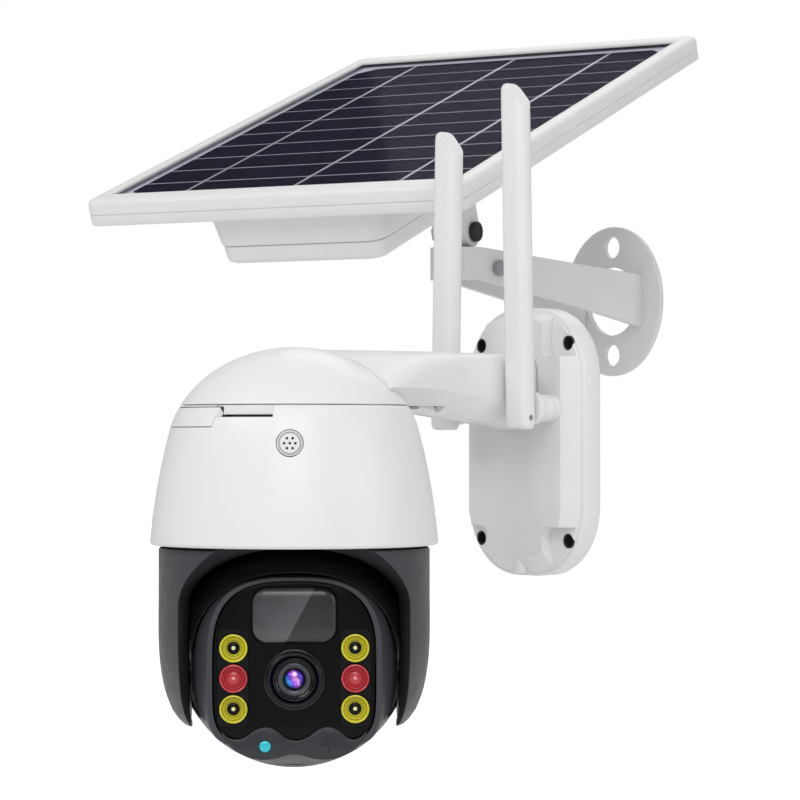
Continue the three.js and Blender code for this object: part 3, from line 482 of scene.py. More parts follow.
def two_tone(name, light, dark):
    """A smoked cover with a painted reflection: its left facet is painted lighter, fading in towards a
    slanting line, and its right facet darker.
    """
    nodes = material(name)
    low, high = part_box("pir_lens")
    across = nodes.along((low + high) / 2, (0.881, 0, -0.473))
    side = nodes.remap(across, 0.0015, 0.0021, 0.0, 1.0)
    fade = nodes.remap(across, -0.018, 0.0018, 0.0, 1.0)
    # Painted reflection: a lighter patch on the left facet and a darker right facet, parted along the
    # slanting line.
    left = nodes.mix(fade, linear("#2c2d31"), linear(light))
    painted_reflection_facets = nodes.mix(side, left, linear(dark))
    nodes.surface(
        Base_Color=nodes.mix(nodes.uneven(90.0, 0.0, 0.04), painted_reflection_facets, linear("#8a8b90")),
        Roughness=nodes.uneven(200.0, 0.24, 0.27),
        Coat_Weight=0.3,
        Normal=nodes.bump(nodes.noise(1800.0), 0.00001, nodes.edge_normal(0.0004)),
    )


def brushed_metal(name, colour, roughness):
    """Metal with fine brush lines and uneven polish."""
    nodes = material(name)
    lines = nodes.noise(300.0, 6.0, nodes.mapped("Scale", (1.0, 1.0, 30.0)))
    base = linear(colour)
    darker = tuple(c * 0.72 for c in base[:3]) + (1.0,)
    rounded = nodes.edge_normal(0.0003)
    nodes.surface(
        Base_Color=nodes.mix(nodes.uneven(60.0, 0.0, 1.0), base, darker),
        Metallic=1.0,
        Roughness=nodes.remap(lines, 0.3, 0.7, roughness - 0.08, roughness + 0.12),
        Normal=nodes.bump(lines, 0.00003, rounded),
    )


def coated_glass(name, centre, radius):
    """A small lens: dark glass with a painted coating reflection that shifts from cyan through blue and
    violet to pink across it, and a faint painted glow in the same colours.
    """
    nodes = material(name)
    # Painted reflection: the coating's colours slide across the lens with position.
    reflection_slide = nodes.remap(nodes.along(centre, (1, 0, 0.45)), -radius, radius, 0.0, 1.0)
    mixed = nodes.add("ShaderNodeMath", operation="MULTIPLY_ADD")
    nodes.link(nodes.noise(700.0, 2.0), mixed.inputs[0])
    mixed.inputs[1].default_value = 0.5
    nodes.link(reflection_slide, mixed.inputs[2])
    ramp = nodes.add("ShaderNodeValToRGB")
    stops = ((0.28, "#1fa8e0"), (0.5, "#4a3fd0"), (0.7, "#a04be0"), (0.88, "#f2a6e8"), (1.0, "#5a3cc8"))
    elements = ramp.color_ramp.elements
    for element, (position, colour) in zip(elements, (stops[0], stops[-1])):
        element.position = position
        element.color = linear(colour)
    for position, colour in stops[1:-1]:
        elements.new(position).color = linear(colour)
    nodes.link(mixed.outputs[0], ramp.inputs["Fac"])
    nodes.surface(
        Base_Color=ramp.outputs["Color"],
        Metallic=0.6,
        Roughness=nodes.uneven(900.0, 0.04, 0.12),
        Coat_Weight=1.0,
        # Painted glow: the lens emits its painted colours though it is no lamp.
        Emission_Color=ramp.outputs["Color"],
        Emission_Strength=0.25,
    )


def thin_sheet(name, tint, share):
    """A clear pane: mostly see-through, with a grazing reflection and faint smears."""
    nodes = material(name)
    clear = nodes.add("ShaderNodeBsdfTransparent", Color=linear(tint))
    shine = nodes.add("ShaderNodeBsdfGlossy", Color=WHITE)
    nodes.link(nodes.uneven(25.0, 0.05, 0.16, 5.0), shine.inputs["Roughness"])
    facing = nodes.add("ShaderNodeFresnel", IOR=1.45)
    nodes.mixed_surface(nodes.remap(facing.outputs[0], 0.0, 1.0, 0.0, share), clear, shine)


def solar_wafer(name, turn):
    """Navy wafer with fine silver fingers across it and a faint crystal mottle."""
    nodes = material(name)
    turned = nodes.mapped("Rotation", (0, 0, -turn))
    cells = nodes.add("ShaderNodeTexVoronoi", Scale=160.0)
    nodes.link(turned, cells.inputs["Vector"])
    shade = nodes.add("ShaderNodeSeparateColor")
    nodes.link(cells.outputs["Color"], shade.inputs[0])
    mottle = nodes.remap(shade.outputs[0], 0.0, 1.0, 0.0, 0.5)
    crystal = nodes.mix(mottle, linear("#0b0a1c"), linear("#151333"))
    wave = nodes.add("ShaderNodeTexWave", bands_direction="X", Scale=160.0, Distortion=0.0)
    nodes.link(turned, wave.inputs["Vector"])
    finger = nodes.remap(wave.outputs["Fac"], 0.92, 1.0, 0.0, 0.22)
    nodes.surface(
        Base_Color=nodes.mix(finger, crystal, linear("#6a6a86")),
        Roughness=nodes.uneven(90.0, 0.6, 0.8),
        Specular_IOR_Level=0.0,
    )


def circuit_board(name):
    """Green solder mask over copper tracks."""
    nodes = material(name)
    greens = {"Color1": linear("#1f5a37"), "Color2": linear("#246b41"), "Mortar": linear("#3f8a55")}
    tracks = nodes.add("ShaderNodeTexBrick", Scale=260.0, **greens)
    nodes.link(nodes.coordinates, tracks.inputs["Vector"])
    nodes.surface(
        Base_Color=tracks.outputs["Color"],
        Roughness=nodes.uneven(300.0, 0.3, 0.45),
        Normal=nodes.bump(tracks.outputs["Fac"], 0.00004),
    )


def make_materials():
    """Every material by its name, with its colour and roughness first."""
    moulded("white_plastic", "#ededee", 0.33, edge_highlight=0.5, mottling=0.008, coat=0.1)
    moulded("badge_line", "#b9bcbf", 0.4, mottling=0.04)
    moulded("grey_plastic", "#3d3e43", 0.36, grain=0.00003, edge_highlight=0.28)
    moulded("black_plastic", "#1b1c1f", 0.34, grain=0.00003, edge_highlight=0.14)
    moulded("face_gloss", "#08090c", 0.2, grain=0.000002, edge_highlight=0.06, mottling=0.1, shine=0.15)
    moulded("face_band", "#0c0d11", 0.3, grain=0.00001, edge_highlight=0.1, shine=0.2)
    moulded("trim_plastic", "#2a2c31", 0.3, edge_highlight=0.5)
    moulded("bracket_paint", "#e2e2e3", 0.38, grain=0.00004, edge_highlight=0.3, mottling=0.03)
    moulded("frame_coat", "#ebebea", 0.36, grain=0.00003, edge_highlight=0.35, mottling=0.015)
    moulded("back_sheet", "#dcdae6", 0.8, edge_highlight=0.1, mottling=0.02, shine=0.0)
    moulded("lens_black", "#060709", 0.2, grain=0.000004, edge_highlight=0.12, coat=0.25, shine=0.3)
    # A lighter copy for the barrel's ridge faces: a painted highlight.
    moulded("lens_ridge_highlight", "#4c4d52", 0.25, grain=0.000004, edge_highlight=0.3, coat=0.4)
    two_tone("smoked_lens", "#55565a", "#1b1c1f")
    lamp_parts = {"grain": 0.000006, "edge": 0.0001}
    for name, colour in (("yellow_cup", "#dcd42a"), ("red_cup", "#cc3540")):
        moulded(name, colour, 0.2, grain=0.000006, edge_highlight=0.5, edge=0.0002, coat=0.5)
    # Darker copies of the cup colours for the reflector's step lips: painted shade.
    for name, colour in (("yellow_painted_shade", "#8f8416"), ("red_painted_shade", "#8a1c28")):
        moulded(name, colour, 0.3, grain=0.000006, edge=0.0002)
    moulded("pink_chip", "#f0a0ac", 0.25, coat=0.5, **lamp_parts)
    moulded("lamp_dark", "#060503", 0.3, shine=0.2, **lamp_parts)
    moulded("lamp_chip", "#f4f2c0", 0.2, coat=0.5, **lamp_parts)
    moulded("cyan_window", "#18c8d8", 0.15, coat=0.8, **lamp_parts)
    moulded("rubber", "#1d1e21", 0.62, grain=0.00008, edge_highlight=0.12)
    brushed_metal("steel", "#b9bbbe", 0.3)
    brushed_metal("busbar", "#c9c9d4", 0.32)
    brushed_metal("brass", "#b5974d", 0.3)
    circuit_board("board_green")
    solar_wafer("cell_blue", PANEL_TURN)
    thin_sheet("panel_glass", "#f8f9fa", 0.02)
    low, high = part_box("lens_glass")
    coated_glass("lens_glass", (low + high) / 2, 3.2 * MM)


make_materials()


# ---------- the dome ----------
WAIST_Z = 5.5
WAIST_R = 45.3
CAP_Z = -5.0
CAP_R = 47.0
CAP_H = DOME_TOP - CAP_Z
FLARE_Z = -34.0
SEAM_GAP = 0.45


def dome_radius(z):
    """Radius of the dome's outside at a height: an ellipse above the waist, a flaring curve below it."""
    if z >= WAIST_Z:
        return CAP_R * math.sqrt(max(0.0, 1 - ((z - CAP_Z) / CAP_H) ** 2))
    t = (WAIST_Z - z) / (WAIST_Z - FLARE_Z)
    return WAIST_R + (DOME_R - WAIST_R) * (1.45 * t - 0.45 * t * t)


def dome_band(name, low, high):
    """A ring of the dome's wall between two heights, with rounded outer corners."""
    lip, steps = 0.4, 16
    heights = [low + lip + (high - low - 2 * lip) * i / steps for i in range(steps + 1)]
    outside = [(dome_radius(z), z) for z in heights]
    first, last = [(dome_radius(z) - lip, z) for z in (low, high)]
    inside = [(dome_radius(z) - WALL, z) for z in (high, (low + high) / 2, low)]
    return lathe(name, [first, *outside, last, *inside])


def flap_block(name, grow):
    """The block of the dome's wall that holds the card flap, with a margin."""
    low, high = extent("card_flap", local_frame(JOINTS["head_pan"]["pos_m"], FLAP_TURN))
    tool = block(name, (low.x - grow, high.x + grow), (-60, -33), (low.z - grow, high.z + grow))
    return turned_z(tool, FLAP_TURN)


def badge_place():
    """The badge's direction about the dome's axis, its height and its radius."""
    low, high = extent("speaker_grille", DOME_FRAME)
    middle = (low + high) / 2
    return math.atan2(middle.x, -middle.y), middle.z, (high.z - low.z) / 2


def finger_notch():
    """A shallow step under the seam beside the flap, for a fingernail."""
    ring = lathe("notch", [(38, 8.9), (60, 8.9), (60, 14), (38, 14)])
    inner = lathe("notch_core", [(0, 5), (41.2, 5), (41.2, 16), (0, 16)])
    wedge = prism("notch_wedge", [(0, 0), (11, -70), (52, -62)], 0, 20, "xy")
    return common(cut(ring, inner), wedge)


def dome_shell():
    low, high = DOME_RIM, DOME_SEAM - GAP * 0.7
    lip = [(DOME_R - WALL, low + 0.3), (DOME_R - WALL + 0.4, low), (DOME_R - 0.9, low)]
    lip += [(DOME_R - 0.35, low + 0.15), (DOME_R - 0.08, low + 0.5)]
    heights = [low + 1.0 + (high - low - 1.4) * i / 40 for i in range(41)]
    outside = [(dome_radius(z), z) for z in heights]
    top = [(dome_radius(high) - 0.4, high), (dome_radius(high) - WALL, high)]
    inside = [(dome_radius(z) - WALL, z) for z in (8, 0, -10, -20, -30)]
    shell = lathe("dome_shell_skin", [*lip, *outside, *top, *inside])
    turn, z, radius = badge_place()
    hole = turned_z(rod("badge_hole", radius + 0.25, -60, -40, (0, z), "y"), turn)
    return cut(shell, flap_block("flap_opening", 0.25), hole, finger_notch())


def cap_solid(name, inset, low):
    """The solid under the cap's outside, or under its inside when inset, from a height upwards."""
    height = CAP_H - inset
    start = math.asin((low - CAP_Z) / height)
    lifts = [start + (math.pi / 2 - start) * i / 40 for i in range(40)]
    side = [((CAP_R - inset) * math.cos(a), CAP_Z + height * math.sin(a)) for a in lifts]
    return lathe(name, [(0, low), *side, (0, CAP_Z + height)])


def cap_skin(name):
    """The whole cap above the seam, before the arm's root is parted from it."""
    return cut(cap_solid(name, 0, DOME_SEAM), cap_solid(name + "_hollow", WALL, DOME_SEAM - 3))


def seam_curve(shift):
    """Plan view of the seam between cap and arm: a hyperbola that opens towards the wall."""
    xs = [-60 + 120 * i / 64 for i in range(65)]
    return [(x, 1.5 + shift + math.sqrt((0.45 * x) ** 2 + 9)) for x in xs]


def root_region(name, shift):
    return prism(name, [*seam_curve(shift), (60, 140), (-60, 140)], -10, 60, "xy")


def dome_cap():
    return cut(cap_skin("dome_cap_skin"), root_region("cap_seam", -SEAM_GAP))


def card_flap():
    """The part of the dome's wall inside the flap block, with its top edge bevelled."""
    band = dome_band("card_flap_skin", 3.5, 14.4)
    flap = common(band, flap_block("flap_keep", 0.0))
    top = extent("card_flap", DOME_FRAME)[1].z
    edge = dome_radius(top)
    inner = edge - WALL - 1.5
    drop = 1.7 * (edge - inner)
    outline = [(inner, top - drop), (edge - 0.3, top - 0.3), (edge, top + 1), (inner, top + 1)]
    return cut(flap, lathe("flap_bevel", outline))


def speaker_grille():
    turn, z, radius = badge_place()
    front = extent("speaker_grille", local_frame(JOINTS["head_pan"]["pos_m"], turn))[0].y
    depth, spread, hole_r = 2.35, 2.0, 0.45
    rim = [(0.0, 2.0), (0.25, 2.3), (0.5, 2.3), (0.6, 2.1), (1.0, 2.1), (1.1, 2.3)]
    profile = [(0, 0), (radius, 0), *[(radius - inset, height) for inset, height in rim], (0, depth)]
    disc = lathe("speaker_grille_disc", profile, 64, [0, 0, 0, 0, 1, 1, 1, 0])
    disc = along_view(disc, 0, front + depth, z)
    for centre in (*arc(0, z, spread, 0, 300, 5), (0, z)):
        disc = cut(disc, rod("grille_hole", hole_r, -60, -30, centre, "y", 20))
    return turned_z(disc, turn)


settle_named(DOME_FRAME, "root", (dome_shell, "white_plastic"), (dome_cap, "white_plastic"))
settle_named(DOME_FRAME, "card_flap", (card_flap, "white_plastic"))
settle_named(DOME_FRAME, "root", (speaker_grille, ["white_plastic", "badge_line"]))


# ---------- the arm ----------
ARM_TOP = extent("arm_shell", DOME_FRAME)[1].z - 0.4
# Distance from the wall, half width, side edge and keel heights, and how far the section above its side
# edge has turned from a rounded box into the dome's own curve.
ARM_STATIONS = [
    (16.4, 13.2, 12.7, 4.6, 0),
    (24, 13.4, 14.4, 6.0, 0),
    (40, 14.6, 16.4, 7.8, 0),
    (58, 17.6, 18.2, 10.2, 0),
    (76, 22.6, 19.3, 12.2, 0.25),
    (92, 28.4, 19.8, 13.2, 0.65),
    (108, 34.2, 19.8, 13.85, 1),
    (118, 35.4, 20, 14, 1),
    (124, 35.6, 20, 14, 1),
]
KEEL_SHARE = 0.55
KEEL_WALL = 1.4


def arm_section(station):
    """The boom's section: a tapered keel below its side edges, and box or dome above them."""
    steps, squareness = 20, 0.34
    out, half, edge, keel, curve = station
    curve = min(max(curve, 0.0), 1.0)
    rise = ARM_TOP - CAP_Z
    lift = math.asin((edge - CAP_Z) / rise)
    keel_half = half * KEEL_SHARE
    middle = (keel_half + (half - keel_half) * 0.55, keel + (edge - keel) * 0.42)
    right = spline([(keel_half, keel), middle, (half, edge)], 5)[:-1]
    for i in range(steps):
        box = math.pi / 2 * i / steps
        arch = lift + (math.pi / 2 - lift) * i / steps
        boxed = (half * math.cos(box) ** squareness, edge + (ARM_TOP - edge) * math.sin(box) ** squareness)
        domed = (half * math.cos(arch) / math.cos(lift), CAP_Z + rise * math.sin(arch))
        right.append(tuple(b + (d - b) * curve for b, d in zip(boxed, domed)))
    left = [(-x, z) for x, z in reversed(right)]
    return upright([*right, (0, ARM_TOP), *left], REACH - out)


def arm_hollow(name):
    """The recess under the arm that the cover closes."""
    top = ARM_TOP - 2 * WALL
    rings = []
    for i, (out, half, *_) in enumerate(ARM_STATIONS):
        inner = half * KEEL_SHARE - KEEL_WALL
        y = REACH - out - (WALL if i == 0 else 0)
        rings.append([(-inner, y, -30), (inner, y, -30), (inner, y, top), (-inner, y, top)])
    return common(loft(name, rings), block(name + "_limit", (-60, 60), (32, 120), (-40, top)))


def arm_shell():
    root = common(cap_skin("arm_shell_skin"), root_region("root_keep", 0.0))
    body = loft("boom", [arm_section(station) for station in spline(ARM_STATIONS, 6)])
    boom = common(cut(body, cap_solid("in_dome", WALL / 2, DOME_SEAM - 14)), root_region("boom_keep", 0.0))
    shell_top = block("shell_top", (-70, 70), (-60, 62), (-60, DOME_SEAM))
    return cut(join(root, boom), shell_top, arm_hollow("arm_recess"))


def arm_cover():
    """The plate that closes the recess, a running gap clear of its walls."""
    rings = []
    for i, (out, half, _, keel, _) in enumerate(ARM_STATIONS[:5]):
        inner = half * KEEL_SHARE - KEEL_WALL - GAP
        y = REACH - out - (WALL + GAP if i == 0 else 0)
        low, lip = keel + 0.2, 0.6
        section = [(-inner + lip, low), (inner - lip, low), (inner, low + lip), (inner, low + 2)]
        section += [(-inner, low + 2), (-inner, low + lip)]
        rings.append(upright(section, y))
    return loft("arm_cover_plate", rings)


settle_named(DOME_FRAME, "root", (arm_shell, "white_plastic"), (arm_cover, "white_plastic"))


# ---------- wall plate ----------
plate_low, plate_high = extent("wall_plate", WALL_FRAME)
PLATE_W, _, PLATE_H = plate_high - plate_low
PLATE_DEPTH = -plate_low.y
PLATE_CORNER = 27.0
PLATE_RIM = 9.7
BOSS_W, BOSS_TOP, BOSS_BOTTOM, BOSS_CORNER = 51.0, 48.5, -44.7, 19.0
SCREW_X, SCREW_Z, SCREW_HOLE_R = 24.3, 38.3, 2.9
POCKET_FLOOR, POCKET_IN, POCKET_DOWN = 10.6, 9.1, 5.2
DUCT_R, DUCT_BORE_R, DUCT_DROP = 2.6, 1.4, 6.8
DUCT_CENTRE = (0, -12.6)


def plate_ring(width, bottom, top, corner, y):
    return upright(rounded_rect(width, top - bottom, corner, 0, (top + bottom) / 2, 14), y)


def plate_sizes(inset):
    """Width, bottom, top and corner radius of the plate's outline, drawn in by an inset."""
    half = PLATE_H / 2 - inset
    return PLATE_W - 2 * inset, -half, half, PLATE_CORNER - inset


def screw_pocket(sx, sz):
    """The pocket round a screw: open outwards, with a rounded inner corner."""
    x0, z0, corner = SCREW_X - POCKET_IN, SCREW_Z - POCKET_DOWN, 3.5
    inner = arc(x0 + corner, z0 + corner, corner, 180, 270, 8)
    outline = [*inner, (SCREW_X + 14, z0), (SCREW_X + 14, SCREW_Z + 16), (x0 + 1.2, SCREW_Z + 16)]
    return prism("pocket", [(sx * x, sz * z) for x, z in outline], -30, -POCKET_FLOOR, "xz")


def rim_rings():
    """The plate's edge, rounded at the wall and at the ledge."""
    edge = [(1.0, 0), (0.3, -0.4), (0, -1.2), (0, -PLATE_RIM + 1.0), (0.2, -PLATE_RIM + 0.35)]
    edge += [(0.7, -PLATE_RIM), (1.2, -PLATE_RIM)]
    return [plate_ring(*plate_sizes(inset), y) for inset, y in edge]


def slope_rings():
    """The slope from the ledge to the boss; its shares of the way across crowd where it bends."""
    boss = (BOSS_W, BOSS_BOTTOM, BOSS_TOP, BOSS_CORNER)
    rings = []
    for share in (0.0, 0.03, 0.5, 0.95, 0.99, 1.04):
        sizes = [a + (b - a) * share for a, b in zip(plate_sizes(1.4), boss)]
        y = -PLATE_RIM - (PLATE_DEPTH - PLATE_RIM) * min(share * 1.012, 1.0)
        rings.append(plate_ring(*sizes, y))
    return rings


def wall_plate():
    duct = rod("duct", DUCT_R, BOSS_BOTTOM - DUCT_DROP, BOSS_BOTTOM + 2, DUCT_CENTRE, "z", 32)
    plate = join(loft("wall_plate_body", rim_rings() + slope_rings()), duct)
    for sx in (-1, 1):
        for sz in (-1, 1):
            hole = rod("screw_hole", SCREW_HOLE_R, -30, 10, (sx * SCREW_X, sz * SCREW_Z), "y", 32)
            plate = cut(plate, screw_pocket(sx, sz), hole)
    for sz in (-1, 1):
        recess = prism("back_recess", rounded_rect(30, 34, 4, 0, sz * 24), -PLATE_DEPTH + WALL + 1, 5, "xz")
        plate = cut(plate, recess)
    bore = rod("duct_bore", DUCT_BORE_R, BOSS_BOTTOM - 9, BOSS_BOTTOM + 10, DUCT_CENTRE, "z", 24)
    return cut(plate, bore)


def screw_sleeve(name, sx, sz):
    """A dark rubber sleeve in a screw hole, standing in for the shade inside the hole: painted shade."""
    outer, inner, front, back, lip = SCREW_HOLE_R - 0.05, 2.2, 10.2, 0.4, 0.2
    profile = [(inner, back), (outer, back), (outer, front - lip), (outer - lip, front)]
    profile += [(inner + lip, front), (inner, front - lip)]
    return along_view(lathe(name, profile, SMALL), sx * SCREW_X, 0, sz * SCREW_Z)


# Dark sleeves in the four screw holes: painted shade inside the holes.
for sx, across in ((-1, "left"), (1, "right")):
    for sz, level in ((-1, "lower"), (1, "upper")):
        settle(screw_sleeve(f"screw_sleeve_{across}_{level}", sx, sz), WALL_FRAME, "root", "rubber")
settle_named(WALL_FRAME, "root", (wall_plate, "white_plastic", 28))


# ---------- antennas ----------
PIN_Y = JOINTS["antenna_near_fold"]["pos_m"][1] / MM
AXIS_Z = JOINTS["antenna_near_swivel"]["pos_m"][2] / MM
BLADE_W, BLADE_T, BLADE_CORNER = 12.0, 7.5, 3.2
TONGUE_HALF, TONGUE_R, SLOT_HALF, PIN_HOLE_R = 1.9, 2.5, 2.3, 1.15


def antenna_frame(name):
    """An antenna's frame: its swivel axis along Y, its fold axis along X."""
    pivot = JOINTS[f"antenna_{name}_swivel"]["pos_m"]
    axis = JOINTS[f"antenna_{name}_fold"]["axis"]
    lean = math.atan2(-axis[2], axis[0])
    return local_frame((pivot[0], 0, pivot[2]), 0, lean)


def blade(name, top, pin_z, low):
    """A flat rounded blade about its pin, with a slanted end and a slot for the knuckle's tongue."""
    half = BLADE_W / 2
    bottom = pin_z - low
    foot = [(1.7, bottom), (0.8, bottom + 0.4), (0.25, bottom + 1.2), (0, bottom + 2.2)]
    head = [(0, top - 14), (0, top - 3), (0.25, top - 1.4), (0.9, top - 0.4), (1.9, top)]
    rings = []
    for inset, z in foot + head:
        outline = rounded_rect(BLADE_W - 2 * inset, BLADE_T - 2 * inset, BLADE_CORNER - inset, 0, PIN_Y, 10)
        rings.append(laid(outline, z))
    body = loft(name, rings)
    corner = [(-half + 2.6, top + 1), (half + 1, top + 1), (half + 1, top - 10.6)]
    slant = prism("slant", corner, PIN_Y - 10, PIN_Y + 10, "xz")
    slot = block("slot", (-SLOT_HALF, SLOT_HALF), (PIN_Y - 2.9, PIN_Y + 10), (-10 - AXIS_Z, pin_z + 3.3))
    hole = rod("pin_hole", PIN_HOLE_R, -10, 10, (PIN_Y, pin_z), "x", 24)
    return cut(body, slant, slot, hole)


def knuckle(name, pin_z):
    """A round knuckle with a tongue that reaches into the blade's slot."""
    profile = [(0, -0.2), (5.2, -0.2), (5.9, 0.1), (6.2, 0.7), (6.2, 2.9), (6.0, 3.4), (5.4, 3.65), (0, 3.65)]
    back = -24.35
    disc = along_view(lathe(name, profile, 64), 0, back, 0)
    heights = (pin_z - TONGUE_R, pin_z + TONGUE_R)
    tongue = block("tongue", (-TONGUE_HALF, TONGUE_HALF), (PIN_Y, back - 2.95), heights)
    tongue = join(tongue, rod("tongue_end", TONGUE_R, -TONGUE_HALF, TONGUE_HALF, (PIN_Y, pin_z), "x", 40))
    return cut(join(disc, tongue), rod("tongue_hole", PIN_HOLE_R, -5, 5, (PIN_Y, pin_z), "x", 24))


def socket(name):
    """A short stub on the plate, with a groove round it."""
    groove = [(5.3, 1.4), (4.5, 2.0), (4.5, 2.6), (5.3, 3.2)]
    profile = [(0, 0), (5.3, 0), *groove, (5.3, 6.9), (4.9, 7.6), (0, 7.6)]
    return along_view(lathe(name, profile, 56), 0, -PLATE_DEPTH - 0.05, 0)


def pin(name, pin_z):
    radius, half, lip = 0.95, 5.6, 0.2
    rim = radius - lip
    profile = [(0, -half), (rim, -half), (radius, -half + lip), (radius, half - lip), (rim, half), (0, half)]
    body = lathe(name, profile, 24)
    body.data.transform(Matrix.Translation((0, PIN_Y, pin_z)) @ Matrix.Rotation(math.pi / 2, 4, "Y"))
    return body


def antenna(name):
    place = antenna_frame(name)
    low, high = extent(f"antenna_blade_{name}", place)
    pin_z = middle_of(f"antenna_pin_{name}", place).z
    x, _, z = JOINTS[f"antenna_{name}_swivel"]["pos_m"]
    stub, disc = f"antenna_socket_{name}", f"antenna_knuckle_{name}"
    rod_node, blade_node = f"antenna_pin_{name}", f"antenna_blade_{name}"
    body, white = f"antenna_{name}", "white_plastic"
    settle(socket(stub + "_stub"), local_frame((x, 0, z)), "root", white, [stub])
    settle(knuckle(disc + "_disc", pin_z), place, body + "_knuckle", white, [disc])
    settle(blade(blade_node + "_body", high.z, pin_z, pin_z - low.z), place, body, white, [blade_node])
    settle(pin(rod_node + "_rod", pin_z), place, body, "steel", [rod_node])


antenna("near")
antenna("far")


# ---------- the yoke ----------
yoke_low, yoke_high = extent("yoke", HEAD_FRAME)
YOKE_R = yoke_high.x
YOKE_TIP = yoke_low.z
BALL_R = extent("head_rear_shell", HEAD_FRAME)[1].z - TILT_Z
ARCH_Z, ARCH_KNEE, ARCH_DRAW = -58.6, -92.0, 0.9
ROOM_HALF, ROOM_TOP = 38.0, -32.6
HUB_R, SEAT_R, PIVOT_R, PASSAGE_R = 9.9, 8.8, 5.4, 7.0
# The opening between the ears: depth, half width and rise. It widens to the front, which bevels the ears.
ARCH_STATIONS = [(14, 38, 19.5), (-14, 38, 19.5), (-27.2, 41.5, 21), (-40, 44.5, 25.5), (-70, 51, 35)]


def arch_outline(y, half, rise):
    """The opening at one depth: a round crown, and sides that draw in towards the tips."""
    tip = half - ARCH_DRAW
    bend = (half - ARCH_DRAW * 0.3, (ARCH_KNEE + YOKE_TIP) / 2 + 2)
    side = [(tip, -130), (tip, YOKE_TIP), bend, (half, ARCH_KNEE)]
    turn = [math.pi * i / 72 for i in range(73)]
    crown = [(half * math.cos(a), ARCH_Z + rise * math.sin(a)) for a in turn]
    left = [(-x, z) for x, z in reversed(side)]
    return upright([*side, *crown, *left], y)


def yoke():
    side = [(44.6, -97.4), (47.2, -90.5), (48.9, -81.5), (YOKE_R, -71), (YOKE_R, -56), (YOKE_R, -39.2)]
    tip = [(38.0, YOKE_TIP), (40.2, -102.6), (42.2, -100.8)]
    outside = [(0, YOKE_TIP), *tip, *spline(side, 8), (YOKE_R - 0.4, -38.4), (YOKE_R - 1.2, -38.2)]
    outside += [(46.4, -38.2), (46.4, -30), (0, -30)]
    body = lathe("yoke_body", outside)
    arch = loft("arch", [arch_outline(*station) for station in ARCH_STATIONS])
    room_limit = block("room_limit", (-ROOM_HALF, ROOM_HALF), (-60, 60), (-140, ROOM_TOP))
    room = common(sphere("head_room", BALL_R + 2.4, 96), room_limit)
    below = block("below_back", (-ROOM_HALF, ROOM_HALF), (0, 70), (-130, -90))
    body = join(cut(body, arch, room, below), rod("hub", HUB_R, -31, -18, (0, 0), "z", 64))
    seats = rod("bush_seats", SEAT_R, -41.5, 41.5, (0, TILT_Z), "x", 56)
    pivots = rod("pivots", PIVOT_R, -46.4, 46.4, (0, TILT_Z), "x", 40)
    return cut(body, rod("passage", PASSAGE_R, -60, 0, (0, 0), "z", 40), pivots, seats)


def sphere(name, radius, segments):
    """A ball about the tilt axis."""
    steps = segments // 2
    turn = [-math.pi / 2 + math.pi * i / steps for i in range(steps + 1)]
    profile = [(radius * math.cos(a), TILT_Z + radius * math.sin(a)) for a in turn]
    profile[0] = (0, TILT_Z - radius)
    profile[-1] = (0, TILT_Z + radius)
    return lathe(name, profile, segments)


settle_named(HEAD_FRAME, "head_pan", (yoke, "grey_plastic", 30))


# ---------- the head's casing ----------
face_low, face_high = extent("face_panel", HEAD_FRAME)
FACE_Y = face_low.y
FRONT_BACK = extent("head_front_shell", HEAD_FRAME)[1].y
BALL_HALF = extent("head_rear_shell", HEAD_FRAME)[1].x
SHAFT_HOLE_R = 3.5
# Distance along the view, half width, bottom and top heights, and the outline's upper and lower powers.
BEZEL = [
    (FRONT_BACK, BALL_HALF - 0.2, -116.6, -46.9, 2.3, 2.3),
    (-21.0, 35.8, -113.6, -47.1, 2.5, 2.7),
    (-26.6, 33.4, -111.0, -47.5, 2.7, 3.8),
    (FACE_Y - 0.4, 31.2, -109.0, -48.1, 2.9, 5.5),
]


def bezel_ring(station, inset, y=None):
    """A bezel station's outline drawn in by an inset, at its own depth or at another."""
    own_y, half, bottom, top, upper, lower = station
    return squared_oval(half - inset, bottom + inset, top - inset, own_y if y is None else y, upper, lower)


def face_ring(grow, y):
    return squared_oval(face_high.x + grow, face_low.z - grow, face_high.z + grow, y, 2.9, 6)


def front_shell():
    stations = spline(BEZEL, 6)
    outer = [bezel_ring(station, 0) for station in stations]
    outer.append(bezel_ring(BEZEL[-1], 0.35, FACE_Y - 0.75))
    outer.append(bezel_ring(BEZEL[-1], 0.9, FACE_Y - 0.85))
    inner = [bezel_ring(BEZEL[0], WALL, FRONT_BACK + 5)]
    inner += [bezel_ring(station, WALL) for station in stations[1:]]
    seat = loft("face_seat", [face_ring(GAP, FACE_Y - 8), face_ring(GAP, FACE_Y + 1.8)])
    window = loft("face_window", [face_ring(-0.4, FACE_Y - 8), face_ring(-0.4, FACE_Y + 8)])
    return cut(loft("front_shell_body", outer), loft("front_hollow", inner), seat, window)


def ball_half(name, radius, half, segments):
    """The lower part of the head's ball, cut flat at both sides."""
    limit = block(name + "_limit", (-half, half), (-60, 60), (-140, 0))
    return common(sphere(name, radius, segments), limit)


def rear_shell():
    """The ball behind the face: hollow, and open where the front shell reaches into it."""
    behind = FRONT_BACK + GAP
    tunnel = loft("tunnel", [bezel_ring(BEZEL[0], -GAP, -60), bezel_ring(BEZEL[0], -GAP, behind)])
    chin = block("chin", (-60, 60), (-60, behind), (-140, TILT_Z))
    hollow = ball_half("ball_hollow", BALL_R - WALL, BALL_HALF - WALL, 64)
    shell = cut(ball_half("rear_shell_body", BALL_R, BALL_HALF, FINE), hollow, tunnel, chin)
    return cut(shell, rod("shaft_hole", SHAFT_HOLE_R, -50, 50, (0, TILT_Z), "x", 32))


settle(front_shell(), HEAD_FRAME, "head_tilt", "grey_plastic", ["head_front_shell"], 32)
settle(rear_shell(), HEAD_FRAME, "head_tilt", "black_plastic", ["head_rear_shell"], 32)


